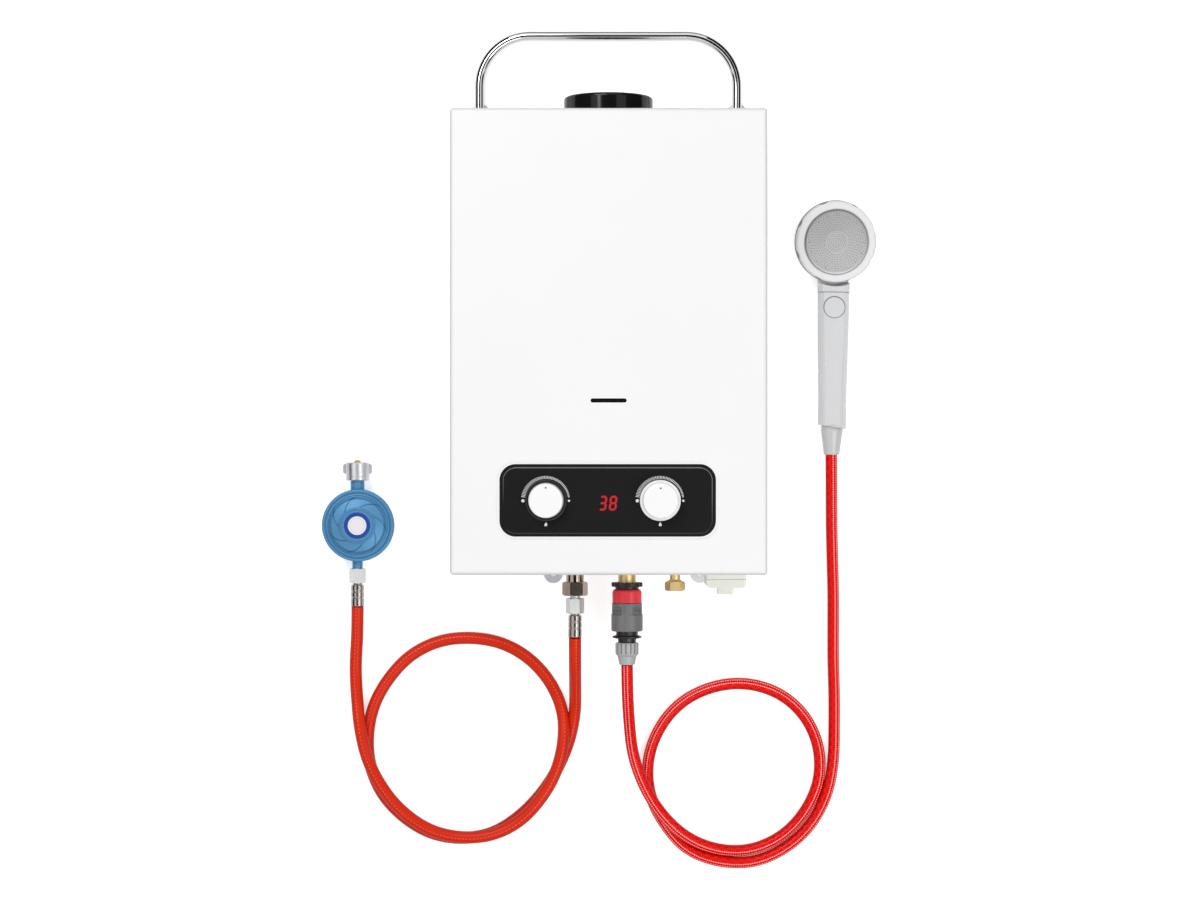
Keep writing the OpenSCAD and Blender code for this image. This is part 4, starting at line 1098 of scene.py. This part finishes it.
class Nodes(Assembly):
    """The pieces that come from the CAD model, with their finishes."""

    title = "CAD pieces"
    own: ClassVar[dict[str, str]] = {
        "front_cover": "casing_enamel",
        "handset_body": "handset_shell",
        "handset_cone": "cone_grey",
        "gas_inlet": "nickel",
        "regulator_wing_nut": "plated_nut",
    }

    def build(self) -> list[Object]:
        """Puts each slot's material on the nodes that carry it."""
        for name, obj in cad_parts.items():
            for slot in obj.material_slots:
                wanted = self.own.get(name, slot.name.split(".")[0])
                if wanted in FINISHES:
                    slot.material = PAINT.get(wanted)
                else:
                    LOG.warning("%s has no finish for %s", name, wanted)
        return list(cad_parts.values())


# ---- stage


@dataclass
class Stage:
    """White table, camera over it, soft lamps and dark cards that give the metal its contrast.

    A card has its name, size, place and turn in degrees, a lamp its name, place, size and power.
    """

    eye: Triple = (-0.00864, -0.1092, 2.7)
    lens: float = 76.72
    table: float = -0.0006
    table_side: float = 9.0
    world: float = 0.53
    table_lift: float = 0.5
    mirrored_lift: float = 0.12
    aim: Triple = (0, -0.05, 0.05)

    cards: ClassVar[tuple] = (
        ("card_left", (0.4, 2.0), (-0.74, 0.2, 0.21), (0, 90, 0)),
        ("card_right", (0.4, 2.0), (0.74, 0.2, 0.21), (0, 90, 0)),
        ("card_high_left", (0.8, 1.0), (-0.75, 0.7, 0.41), (0, 90, 0)),
        ("card_high_right", (0.8, 1.0), (0.75, 0.7, 0.41), (0, 90, 0)),
        ("card_corner_left", (0.8, 0.5), (-0.46, 0.62, 0.41), (0, 90, -45)),
        ("card_corner_right", (0.8, 0.5), (0.46, 0.62, 0.41), (0, 90, 45)),
        ("card_far", (1.2, 0.05), (0, 0.43, 0.03), (90, 0, 0)),
        ("card_near", (1.4, 0.16), (0, -0.68, 0.085), (90, 0, 0)),
        ("card_over", (2.3, 2.5), (0.0, 0.0, 3.1), (0, 0, 0)),
    )
    lamps: ClassVar[tuple] = (
        ("key", (-0.9, 1.3, 2.4), (1.4, 1.2), 34),
        ("fill", (1.1, -1.2, 2.3), (1.6, 1.4), 25.5),
    )

    def plane(self, name: str, size: Pair, place: Sequence[float], turn: Sequence[float],
              material: Material) -> Object:
        """Flat card with its centre at a place and turned by degrees."""
        mesh = bpy.data.meshes.new(name)
        w, h = size[0] / 2, size[1] / 2
        mesh.from_pydata([(-w, -h, 0), (w, -h, 0), (w, h, 0), (-w, h, 0)], [], [(0, 1, 2, 3)])
        obj = new_object(name, mesh)
        obj.location = place
        obj.rotation_euler = [math.radians(a) for a in turn]
        mesh.materials.append(material)
        return obj

    def white(self) -> Material:
        """Table top that keeps shadows and is lifted to white for the camera, metal and glass."""
        kit = ShaderKit("table_top")
        seen, mirrored, through = (kit.node("LightPath", {}, out=k) for k in
                                   ("Is Camera Ray", "Is Glossy Ray", "Is Transmission Ray"))
        lift = seen * self.table_lift + (mirrored + through) * self.mirrored_lift
        grain = kit.noise(3.0, 2)
        kit.set(Base_Color=kit.mix(grain, (0.93, 0.93, 0.93), (0.92, 0.92, 0.92)), Roughness=0.9)
        kit.set(Specular_IOR_Level=0.0, Emission_Color=(1, 1, 1), Emission_Strength=lift)
        return kit.material

    def dark(self) -> Material:
        """Black card, seen only in reflections."""
        kit = ShaderKit("black_card")
        kit.set(Base_Color=(0.01, 0.01, 0.01), Roughness=1.0, Specular_IOR_Level=0.0)
        return kit.material

    def lamp(self, name: str, place: Sequence[float], size: Pair, power: float) -> None:
        """Area lamp that looks at the object."""
        light = bpy.data.lights.new(name, "AREA")
        light.shape = "RECTANGLE"
        light.size, light.size_y = size
        light.energy = power
        obj = bpy.data.objects.new(name, light)
        obj.location = place
        obj.rotation_euler = (Vector(self.aim) - Vector(place)).to_track_quat("-Z", "Y").to_euler()
        bpy.context.scene.collection.objects.link(obj)

    def room(self) -> World:
        """World that is white to the camera, metal and glass, and gives less light to the rest."""
        world = bpy.data.worlds.new("room")
        world.use_nodes = True
        nodes, links = world.node_tree.nodes, world.node_tree.links
        rays = nodes.new("ShaderNodeLightPath")
        seen = rays.outputs["Is Camera Ray"]
        for kind in ("Is Glossy Ray", "Is Transmission Ray"):
            either = nodes.new("ShaderNodeMath")
            either.operation = "MAXIMUM"
            links.new(seen, either.inputs[0])
            links.new(rays.outputs[kind], either.inputs[1])
            seen = either.outputs[0]
        level = nodes.new("ShaderNodeMapRange")
        level.inputs["To Min"].default_value = self.world
        links.new(seen, level.inputs["Value"])
        ground = nodes["Background"]
        ground.inputs[0].default_value = (1, 1, 1, 1)
        links.new(level.outputs["Result"], ground.inputs[1])
        return world

    def camera(self) -> Object:
        """Camera that looks straight down."""
        data = bpy.data.cameras.new("camera")
        data.lens = self.lens
        data.sensor_width = 36.0
        data.clip_end = 50.0
        obj = bpy.data.objects.new("camera", data)
        obj.location = self.eye
        bpy.context.scene.collection.objects.link(obj)
        return obj

    def build(self) -> None:
        """Builds table, cards, lamps, world and camera."""
        scene = bpy.context.scene
        scene.view_settings.view_transform = "Standard"
        floor = min(CAD_BOX[0][2], 0.0) + self.table
        self.plane("table", (self.table_side,) * 2, (0, 0, floor), (0, 0, 0), self.white())
        black = self.dark()
        for card in self.cards:
            held = self.plane(*card, black)
            held.visible_camera = held.visible_diffuse = held.visible_shadow = False
        for lamp in self.lamps:
            self.lamp(*lamp)
        scene.world = self.room()
        scene.camera = self.camera()


def main() -> None:
    logging.basicConfig(level=logging.INFO, format="%(message)s")
    parts: list[Assembly] = [
        Nodes(),
        HoseLine("gas hose", "gas_hose", "gas_hose_orange", GAS_ROUTE, 0.0128, "coiled",
                 ("gas_hose_ferrule", "regulator_ferrule")),
        HoseLine("shower hose", "shower_hose", "shower_hose_red", SHOWER_ROUTE, 0.0122, "coiled",
                 ("hose_nut",)),
        Dial("gas_scale", (-0.0629, -0.1598), "flame"),
        Dial("water_scale", (0.0519, -0.1598), "drop"),
        KnobMark("gas_knob_mark", "gas_knob", (-0.0629, -0.1469, 0.15085)),
        KnobMark("water_knob_mark", "water_knob", (0.0519, -0.1474, 0.15085)),
        SprayHoles(),
    ]
    for part in parts:
        made = part.build()
        LOG.info("%s: %d objects", part.title, len(made))
    Stage().build()


if __name__ == "__main__":
    main()
